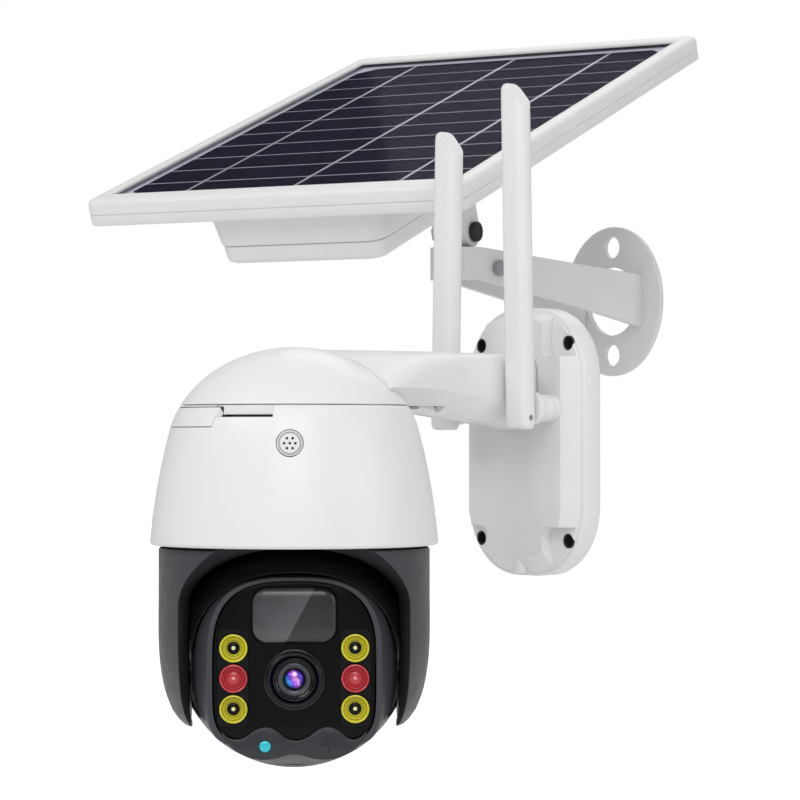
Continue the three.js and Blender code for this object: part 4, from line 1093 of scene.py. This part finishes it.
# ---------- the face ----------
LAMPS = {
    node: middle_of(node, HEAD_FRAME)
    for node in frame["nodes"]
    if node.startswith(("white_lamp", "infrared_lamp"))
}
LED_R = 5.05
BAND_W, BAND_H, BAND_CORNER, BAND_SHIFT = 11.2, 34.6, 2.2, 0.2
LENS_GLASS_R = 3.2
pir_low, pir_high = extent("pir_lens", HEAD_FRAME)
PIR_W, _, PIR_H = pir_high - pir_low
PIR_Z = (pir_low.z + pir_high.z) / 2
PIR_CORNER = 5.5
LENS_Z = middle_of("lens_ring", HEAD_FRAME).z


def band_outline(side, grow):
    """The recessed band behind a column of lamps."""
    column = [centre for centre in LAMPS.values() if centre.x * side > 0]
    x = sum(centre.x for centre in column) / len(column)
    z = sum(centre.z for centre in column) / len(column)
    return rounded_rect(BAND_W + 2 * grow, BAND_H + 2 * grow, BAND_CORNER, x + side * BAND_SHIFT, z)


def face_panel():
    edge = ((-0.5, 0), (-0.15, 0.12), (0, 0.45), (0, 1.5))
    panel = loft("face_panel_body", [face_ring(grow, FACE_Y + depth) for grow, depth in edge])
    for side in (-1, 1):
        band = prism("lamp_band", band_outline(side, 0.1), FACE_Y - 2, FACE_Y + 0.3, "xz")
        panel = cut(panel, band)
    hole = prism("pir_hole", rounded_rect(PIR_W + 0.5, PIR_H + 0.5, PIR_CORNER, 0, PIR_Z), -40, -20, "xz")
    panel = cut(panel, hole, rod("lens_hole", 9.4, -40, -20, (0, LENS_Z), "y", 72))
    for centre in LAMPS.values():
        panel = cut(panel, rod("lamp_hole", LED_R + 0.2, -40, -20, (centre.x, centre.z), "y", 48))
    return panel


def lamp_band_skin(side):
    """A thin satin insert on the floor of the lamp column's recess."""
    name = "lamp_band_left" if side < 0 else "lamp_band_right"
    plate = prism(name, band_outline(side, 0.0), FACE_Y + 0.16, FACE_Y + 0.29, "xz")
    for centre in LAMPS.values():
        if centre.x * side > 0:
            plate = cut(plate, rod("band_hole", LED_R + 0.25, -40, -20, (centre.x, centre.z), "y", 48))
    return plate


def lamp(name, centre):
    """A stepped reflector cup with a small lens in its middle."""
    rim = [(0, 0), (LED_R - 0.5, 0), (LED_R, 4.2)]
    rim += [(LED_R - inset, height) for inset, height in ((0.1, 4.55), (0.35, 4.65), (0.6, 4.5))]
    steps = [(4.1, 3.5), (3.95, 3.75), (3.7, 3.75), (3.2, 2.9), (3.05, 3.15), (2.85, 3.15), (2.5, 2.3)]
    lens = [(2.3, 2.3), (2.25, 2.5), (1.9, 2.7), (0.8, 2.8), (0.75, 2.85), (0.7, 3.1), (0.45, 3.3), (0, 3.35)]
    # Slot 1 paints the two step lips in the darker copy of the cup colour: painted shade rings.
    slots = [0] * 4 + [0] * 3 + [1, 0, 0, 1, 0, 0] + [2] * 4 + [3] * 4
    body = lathe(name + "_cup", [*rim, *steps, *lens], SMALL, slots)
    return along_view(body, centre.x, FACE_Y + 3.7, centre.z)


def pir_lens():
    """A crowned smoked cover, with its second facet cut at a slant."""
    crown = ((0, 1.5), (0, -0.5), (0.5, -0.95), (1.4, -1.35), (3.2, -1.7), (6, -1.95), (9, -2.1))
    rings = []
    for shrink, depth in crown:
        corner = max(PIR_CORNER - shrink / 2, 1.2)
        outline = rounded_rect(PIR_W - shrink, PIR_H - shrink, corner, 0, PIR_Z)
        rings.append(upright(outline, FACE_Y + depth))
    lens = loft("pir_lens_cover", rings)
    facet = [(8.4, PIR_Z + 12), (20, PIR_Z + 12), (20, PIR_Z - 12), (-4.5, PIR_Z - 12)]
    return cut(lens, prism("pir_facet", facet, FACE_Y - 3, FACE_Y - 2.0, "xz"))


def lens_ring():
    """A flat collar on the face, with a rounded hood round the lens."""
    collar = [(8.2, -2.6), (9, -2.6), (9, 0.3), (10.6, 0.3), (10.9, 0.45), (11, 0.8), (10.85, 1.15)]
    hood = [(10.5, 1.3), (10.1, 1.3), (9.95, 1.5), (9.7, 2.15), (9.4, 2.38), (9.0, 2.38)]
    inside = [(8.7, 2.1), (8.4, 1.5), (8.2, 0.9)]
    return along_view(lathe("lens_ring_body", collar + hood + inside, 96), 0, FACE_Y, LENS_Z)


def lens_barrel():
    """The barrel, with a ridged cone and a dark throat in front of the glass; the ridge faces are painted
    lighter, a painted highlight ring.
    """
    tube = [(0, -20), (6.6, -20), (6.6, -8), (7.8, -8), (7.8, 0.8), (7.65, 1.1), (7.3, 1.15), (7.05, 0.8)]
    cone = [(6.9, 0.1), (5.9, -0.6), (5.75, -0.2), (5.5, -0.1), (5.25, -0.3), (5.0, -1.2), (4.3, -1.5)]
    throat = [(4.15, -1.2), (3.95, -1.2), (3.7, -1.5), (3.5, -2.2), (3.45, -3), (0, -3)]
    profile = [*tube, *cone, *throat]
    # Painted highlight: the ridge faces take a lighter material, a bright ring round the cone.
    highlight_ridges = {10, 11, 12, 13}
    slots = [1 if k in highlight_ridges else 0 for k in range(len(profile) - 1)]
    return along_view(lathe("lens_barrel_body", profile, 96, slots), 0, FACE_Y, LENS_Z)


def lens_glass():
    """The small bulged front lens."""
    radius, bulge, rim, back = LENS_GLASS_R, 1.4, -1.9, -2.7
    lifts = [math.pi / 2 * i / 16 for i in range(16)]
    front = [(radius * math.cos(a), rim + bulge * math.sin(a)) for a in lifts]
    profile = [(0, back), (radius, back), *front, (0, rim + bulge)]
    return along_view(lathe("lens_glass_front", profile, 64), 0, FACE_Y, LENS_Z)


settle_named(HEAD_FRAME, "head_tilt", (face_panel, "face_gloss"))
for sign in (-1, 1):
    settle(lamp_band_skin(sign), HEAD_FRAME, "head_tilt", "face_band")
for node, centre in LAMPS.items():
    infrared = node.startswith("infrared")
    white = ["yellow_cup", "yellow_painted_shade", "lamp_dark", "lamp_chip"]
    colours = ["red_cup", "red_painted_shade", "red_cup", "pink_chip"] if infrared else white
    settle(lamp(node, centre), HEAD_FRAME, "head_tilt", colours, [node], 25)
settle_named(
    HEAD_FRAME,
    "head_tilt",
    (pir_lens, "smoked_lens"),
    (lens_ring, "lens_black", 25),
    (lens_barrel, ["lens_black", "lens_ridge_highlight"], 25),
    (lens_glass, "lens_glass"),
)


# ---------- waved trim, light sensor and microphone ----------
WINDOW = middle_of("light_sensor_window", HEAD_FRAME)
MICROPHONE_X, MICROPHONE_Z = 12.3, -107.4
trim_low, trim_high = extent("wave_trim", HEAD_FRAME)


def wave_outline():
    """Two crests above, over the light sensor and the microphone, and two lobes below."""
    upper = [(-26, -102.4), (-23.6, -105.0), (-20.6, -105.8), (-17.2, -104.9), (-14, -102.6), (-10.4, -101.5)]
    upper += [(-7.0, -102.3), (-3.2, -105.2), (0.6, -106.3), (4.6, -105.2), (8.8, -102.3), (12.4, -101.5)]
    upper += [(16.0, -102.8), (18.8, -105.2), (21.2, -105.9), (23.8, -104.9), (26, -102.4)]
    lobe = [(26, -102.4), (24.6, -106.2), (21.6, -109.3), (17, -111.9), (12, -113.0)]
    lobe += [(7, -112.7), (3, -111.6)]
    lower = [*lobe, (0, -111.1), *[(-x, z) for x, z in reversed(lobe)]]
    return spline(upper, 5)[:-1] + spline(lower, 4)[:-1]


def wave_trim():
    """The trim with rounded front edges; the rounding fades out at its two sharp ends."""
    outline = wave_outline()
    front = trim_low.y
    fade = 1.5
    rings = []
    for inset, y in ((0.3, front), (0.12, front + 0.08), (0.0, front + 0.25), (0.0, trim_high.y + 3.2)):
        ring = []
        for i, (x, z) in enumerate(outline):
            before, after = Vector(outline[i - 1]), Vector(outline[(i + 1) % len(outline)])
            run = (after - before).normalized()
            shrink = inset * min(1.0, (trim_high.x - abs(x)) / fade)
            ring.append((x + run.y * shrink, y, z - run.x * shrink))
        rings.append(ring)
    trim = loft("wave_trim_body", rings)
    return cut(trim, rod("window_hole", 2.3, -33, -30, (WINDOW.x, WINDOW.z), "y", 40))


def microphone_hole_shade():
    """Five dark discs in a cross, just proud of the trim, standing in for the shaded microphone holes:
    painted shade.
    """
    spacing, radius, proud = 2.1, 0.7, 0.05
    discs = []
    for right, up in ((0, 0), (1, 0), (-1, 0), (0, 1), (0, -1)):
        centre = (MICROPHONE_X + spacing * right, MICROPHONE_Z + spacing * up)
        discs.append(rod("microphone_hole_shade", radius, trim_low.y - proud, trim_low.y + 1, centre, "y", 24))
    return join(*discs)


def light_window():
    profile = [(0, 0), (2.05, 0), (2.05, 0.5), (1.85, 0.75), (1.3, 0.92), (0.6, 1.0), (0, 1.02)]
    return along_view(lathe("light_sensor_lens", profile, 40), WINDOW.x, trim_high.y + 0.05, WINDOW.z)


settle_named(HEAD_FRAME, "head_tilt", (wave_trim, "trim_plastic"))
settle(light_window(), HEAD_FRAME, "head_tilt", "cyan_window", ["light_sensor_window"])
# Painted shade: dark discs in place of the microphone holes.
settle(microphone_hole_shade(), HEAD_FRAME, "head_tilt", "rubber")


# ---------- solar bracket ----------
LOOP_R, LOOP_SPREAD, LOOP_WALL = 12.0, 20.0, 3.0
OVAL_HALF_W, OVAL_BACK, _ = extent("solar_bracket", POST_FRAME)[1]
OVAL_HALF_H, OVAL_THICK, OVAL_Z = 35.7, 3.0, 67.0
OVAL_FRONT = OVAL_BACK - OVAL_THICK
MIDDLE_HOLE_R, BRACKET_HOLE_R, BRACKET_HOLE_RISE = 16.4, 5.3, 25.8
CLAMP_HOLE_R, CLAMP_AT = 2.2, (13.5, 79)


def loop_outline(inset):
    """Plan of the loop: round the post, and spreading to the oval plate."""
    start = OVAL_FRONT + 0.2
    bend = arc(0, 0, LOOP_R - inset, 180, 360, 40)
    return [(LOOP_SPREAD - inset, start), (-LOOP_SPREAD + inset, start), *bend]


def strap_side():
    """Side view of the strap: level round the post, and lower and deeper at the oval plate."""
    half_way, end = OVAL_FRONT * 0.5, OVAL_FRONT + 0.5
    lower = [(-14, 73.6), (4, 73.6), (half_way, 65.2), (end, 54.2)]
    return [*lower, (end, 79), (half_way, 83.8), (4, 88.3), (-14, 88.3)]


def oval_ring(inset, y):
    half_w, half_h = OVAL_HALF_W - inset, OVAL_HALF_H - inset
    turn = [2 * math.pi * i / 120 for i in range(120)]
    return upright([(half_w * math.cos(a), OVAL_Z + half_h * math.sin(a)) for a in turn], y)


def solar_bracket():
    outer = prism("solar_bracket_body", loop_outline(0), 40, 100, "xy")
    hollow = prism("loop_hollow", loop_outline(LOOP_WALL), 30, 110, "xy")
    loop = common(cut(outer, hollow), prism("strap_side", strap_side(), -40, 40, "yz"))
    edge = [(0.7, OVAL_BACK), (0.15, OVAL_BACK - 0.35), (0, OVAL_BACK - 0.9)]
    edge += [(0, OVAL_FRONT + 0.9), (0.2, OVAL_FRONT + 0.3), (0.8, OVAL_FRONT)]
    plate = loft("oval", [oval_ring(inset, y) for inset, y in edge])
    plate = cut(plate, rod("middle_hole", MIDDLE_HOLE_R, 0, 120, (0, OVAL_Z), "y", 80))
    for side in (-1, 1):
        centre = (0, OVAL_Z + side * BRACKET_HOLE_RISE)
        plate = cut(plate, rod("bracket_hole", BRACKET_HOLE_R, 0, 120, centre, "y", 40))
    return cut(join(loop, plate), rod("clamp_hole", CLAMP_HOLE_R, -40, 40, CLAMP_AT, "x", 24))


def bolt_cap():
    low, high = extent("bolt_cap", TILTED_FRAME)
    width = high.x - low.x
    radius = (high.y - low.y) / 2
    dished = width - 0.3
    side = [(0, 0.2), (radius - 0.2, 0.2), (radius, 0.5), (radius, width - 0.9), (radius - 0.3, dished)]
    end = [(radius - 0.9, width), (radius - 1.6, width), (radius - 1.9, dished), (0, dished)]
    body = lathe("bolt_cap_body", side + end, 56)
    body.data.transform(Matrix.Translation((low.x, 0, 0)) @ Matrix.Rotation(math.pi / 2, 4, "Y"))
    return body


settle_named(POST_FRAME, "root", (solar_bracket, "bracket_paint"))
settle_named(TILTED_FRAME, "panel_tilt", (bolt_cap, "rubber"))


# ---------- solar panel ----------
SIDE_BORDER, END_BORDER = 7.0, 11.0
GLASS_TOP = extent("panel_glass", PANEL_FRAME)[1].z
sheet_low, sheet_high = extent("cell_sheet", PANEL_FRAME)
STRIPS = 11
BUSBARS = (-52.0, 1.5, 52.0)


def frame_ring(inset, z, end_extra=0.0):
    width = PANEL_W - 2 * inset
    length = PANEL_L - 2 * (inset + end_extra)
    corner = max(5.0 - inset * 0.5, 1.5)
    return laid(rounded_rect(width, length, corner, 0, 0, 8), z)


def panel_frame():
    """The rim's cross-section carried round the panel, with a groove line and a ledge for the glass."""
    outside = [(1.0, -PANEL_T), (0.3, -PANEL_T + 0.3), (0, -PANEL_T + 1.0), (0, -7.0), (0.3, -6.8)]
    outside += [(0.3, -6.5), (0, -6.3), (0, -2.6), (0.25, -1.5), (0.8, -0.7), (1.7, -0.2), (2.8, 0)]
    # How far outside the opening's edge, and the height, across the top face and down to the glass.
    face = [(2.2, 0), (1.9, -0.25), (1.5, -0.25), (1.3, -0.02), (0.5, -0.1), (0, -0.6), (0, GLASS_TOP + 0.05)]
    ledge = SIDE_BORDER - 3.5
    under = sheet_low.z - 0.2
    inner = END_BORDER - SIDE_BORDER
    rings = [frame_ring(inset, z) for inset, z in outside]
    rings += [frame_ring(SIDE_BORDER - outward, z, inner) for outward, z in face]
    rings += [frame_ring(ledge, GLASS_TOP + 0.05), frame_ring(ledge, under)]
    rings += [frame_ring(SIDE_BORDER, under, inner), frame_ring(SIDE_BORDER, -PANEL_T, inner)]
    return loft("panel_frame_rim", rings, closed=True)


def back_sheet():
    x, y = (sheet_low.x, sheet_high.x), (sheet_low.y, sheet_high.y)
    return block("cell_back_sheet", x, y, (sheet_low.z, sheet_high.z - 0.3))


def slab_faces(points, faces, outline, low, high):
    """Adds a flat slab under an outline to lists of points and faces."""
    base, count = len(points), len(outline)
    points += [(x, y, z) for z in (low, high) for x, y in outline]
    bottom = [base + k for k in range(count)]
    top = [base + count + k for k in range(count)]
    faces += [tuple(bottom), tuple(top)]
    for k in range(count):
        after = (k + 1) % count
        faces.append((bottom[k], bottom[after], top[after], top[k]))


def cell_strips():
    """The wafer strips, as separate solids in one piece, chamfered at the sheet's four corners."""
    half = PANEL_W / 2 - SIDE_BORDER - 2.6
    first, last = -PANEL_L / 2 + END_BORDER + 5.0, PANEL_L / 2 - END_BORDER - 3.4
    pitch = (last - first) / STRIPS
    gap, chamfer = 1.5, 8.0
    points, faces = [], []
    for i in range(STRIPS):
        y0, y1 = first + i * pitch + gap / 2, first + (i + 1) * pitch - gap / 2
        low_cut = chamfer if i == 0 else 0.0
        high_cut = chamfer if i == STRIPS - 1 else 0.0
        right = [(half - low_cut, y0), (half, y0 + low_cut), (half, y1 - high_cut), (half - high_cut, y1)]
        left = [(-x, y) for x, y in reversed(right)]
        outline = list(dict.fromkeys([left[-1], *right, *left[:-1]]))
        slab_faces(points, faces, outline, sheet_high.z - 0.3, sheet_high.z - 0.1)
    return mesh_object("solar_cell_strips", points, faces), first, last, pitch


def bar_faces(points, faces, centre, half, z):
    """A flat bar about a point of the sheet, between two heights."""
    (cx, cy), (hx, hy) = centre, half
    outline = [(cx - hx, cy - hy), (cx + hx, cy - hy), (cx + hx, cy + hy), (cx - hx, cy + hy)]
    slab_faces(points, faces, outline, *z)


def busbars(first, last, pitch):
    """Three tinned ribbons along the panel, with a solder dot where each crosses a gap between strips."""
    points, faces = [], []
    top = sheet_high.z
    centre_y, half_length = (first + last) / 2, (last - first) / 2 - 1
    for x in BUSBARS:
        bar_faces(points, faces, (x, centre_y), (0.75, half_length), (top - 0.1, top - 0.02))
        for i in range(1, STRIPS):
            bar_faces(points, faces, (x, first + i * pitch), (1.0, 1.5), (top - 0.02, top + 0.03))
    return mesh_object("solar_busbars", points, faces)


settle_named(PANEL_FRAME, "panel_tilt", (panel_frame, "frame_coat"))
settle(back_sheet(), PANEL_FRAME, "panel_tilt", "back_sheet", ["cell_sheet"])
strips, strip_first, strip_last, strip_pitch = cell_strips()
settle(strips, PANEL_FRAME, "panel_tilt", "cell_blue")
settle(busbars(strip_first, strip_last, strip_pitch), PANEL_FRAME, "panel_tilt", "busbar")


# ---------- battery box ----------
box_low, box_high = extent("battery_box", PANEL_FRAME)
lid_low, lid_high = extent("battery_lid", PANEL_FRAME)
BOX_X, BOX_Y, _ = (box_low + box_high) / 2
BOX_W, BOX_L, _ = box_high - box_low


def box_ring(inset, z):
    corner = 9 - min(inset, 4) * 0.8
    return laid(rounded_rect(BOX_W - 2 * inset, BOX_L - 2 * inset, corner, BOX_X, BOX_Y), z)


def battery_box():
    top, bottom = box_high.z, box_low.z
    side = [(2.6, bottom), (2.3, bottom + 0.3), (2.1, bottom + 0.9), (0.1, top - 0.5), (0.2, top)]
    outer = loft("battery_box_body", [box_ring(inset, z) for inset, z in side])
    return cut(outer, loft("box_hollow", [box_ring(4.6, bottom - 1), box_ring(3, top - 1.5)]))


def battery_lid():
    top, bottom = lid_high.z, lid_low.z
    side = [(6.6, bottom), (5.2, bottom + 0.25), (4.2, bottom + 0.9), (3.6, bottom + 1.9)]
    side += [(3.3, bottom + 3.0), (2.9, top - 0.3), (3.2, top)]
    outer = loft("battery_lid_body", [box_ring(inset, z) for inset, z in side])
    return cut(outer, loft("lid_hollow", [box_ring(6.8, bottom + 1.5), box_ring(4.6, top + 1)]))


settle_named(PANEL_FRAME, "panel_tilt", (battery_box, "white_plastic"), (battery_lid, "white_plastic"))


# ---------- materials of the CAD nodes that stay ----------
for node, obj in frame["nodes"].items():
    obj.data.materials.clear()
    obj.data.materials.append(MATERIALS[SLOT_OF[node]])


# ---------- stage, light and camera ----------
FLOOR_Z = -0.26
LIGHT_AIM = Vector((0, -0.03, 0))
# The camera is matched to the photo: place, then tilt and heading in degrees.
CAMERA_AT = (0.843128532, -0.835108882, 0.000733012)
CAMERA_TILT, CAMERA_HEADING = 90.7639, 48


def floor():
    """A plain pale floor that stays near white in the picture."""
    bpy.ops.mesh.primitive_plane_add(size=14.0, location=(0, 0, FLOOR_Z))
    plane = bpy.context.object
    plane.name = "floor"
    nodes = material("floor_paint")
    tone = nodes.mix(nodes.uneven(6.0, 0.0, 1.0), linear("#f6f6f6"), linear("#f1f1f1"))
    seen = nodes.add("ShaderNodeLightPath").outputs["Is Camera Ray"]
    glow = nodes.remap(seen, 0.0, 1.0, 0.0, 0.72)
    nodes.surface(Base_Color=tone, Roughness=0.8, Emission_Color=WHITE, Emission_Strength=glow)
    plane.data.materials.append(MATERIALS["floor_paint"])


def world():
    """White to the camera; as a light, bright overhead and dim at the horizon, so dark faces stay dark."""
    studio = bpy.data.worlds.new("studio")
    bpy.context.scene.world = studio
    nodes = Nodes(studio, "ShaderNodeOutputWorld")
    split = nodes.add("ShaderNodeSeparateXYZ")
    nodes.link(nodes.texture_space.outputs["Generated"], split.inputs[0])
    light, seen = [nodes.add("ShaderNodeBackground", Color=WHITE) for _ in range(2)]
    nodes.link(nodes.remap(split.outputs["Z"], -0.1, 0.8, 0.34, 0.62), light.inputs["Strength"])
    nodes.mixed_surface(nodes.add("ShaderNodeLightPath").outputs["Is Camera Ray"], light, seen)


def area_light(name, azimuth, elevation, distance, size, power):
    """A soft square light that looks at the object from a compass direction."""
    az, el = math.radians(azimuth), math.radians(elevation)
    offset = Vector((math.sin(az) * math.cos(el), -math.cos(az) * math.cos(el), math.sin(el))) * distance
    data = bpy.data.lights.new(name, "AREA")
    data.size = size
    data.energy = power
    lamp_object = bpy.data.objects.new(name, data)
    lamp_object.location = LIGHT_AIM + offset
    lamp_object.rotation_euler = (-offset).to_track_quat("-Z", "Y").to_euler()
    bpy.context.scene.collection.objects.link(lamp_object)


def camera():
    data = bpy.data.cameras.new("camera")
    data.lens = 135
    data.sensor_width = 36
    obj = bpy.data.objects.new("camera", data)
    obj.location = CAMERA_AT
    obj.rotation_euler = (math.radians(CAMERA_TILT), 0, math.radians(CAMERA_HEADING))
    bpy.context.scene.collection.objects.link(obj)
    bpy.context.scene.camera = obj


floor()
world()
area_light("key", 46, 32, 1.6, 0.8, 6.0)
area_light("left", -4, 40, 1.7, 0.9, 6.2)
area_light("right", 108, 14, 1.7, 0.9, 3.2)
area_light("back", 215, 40, 1.7, 1.0, 3)
camera()
bpy.context.scene.view_settings.view_transform = "Standard"
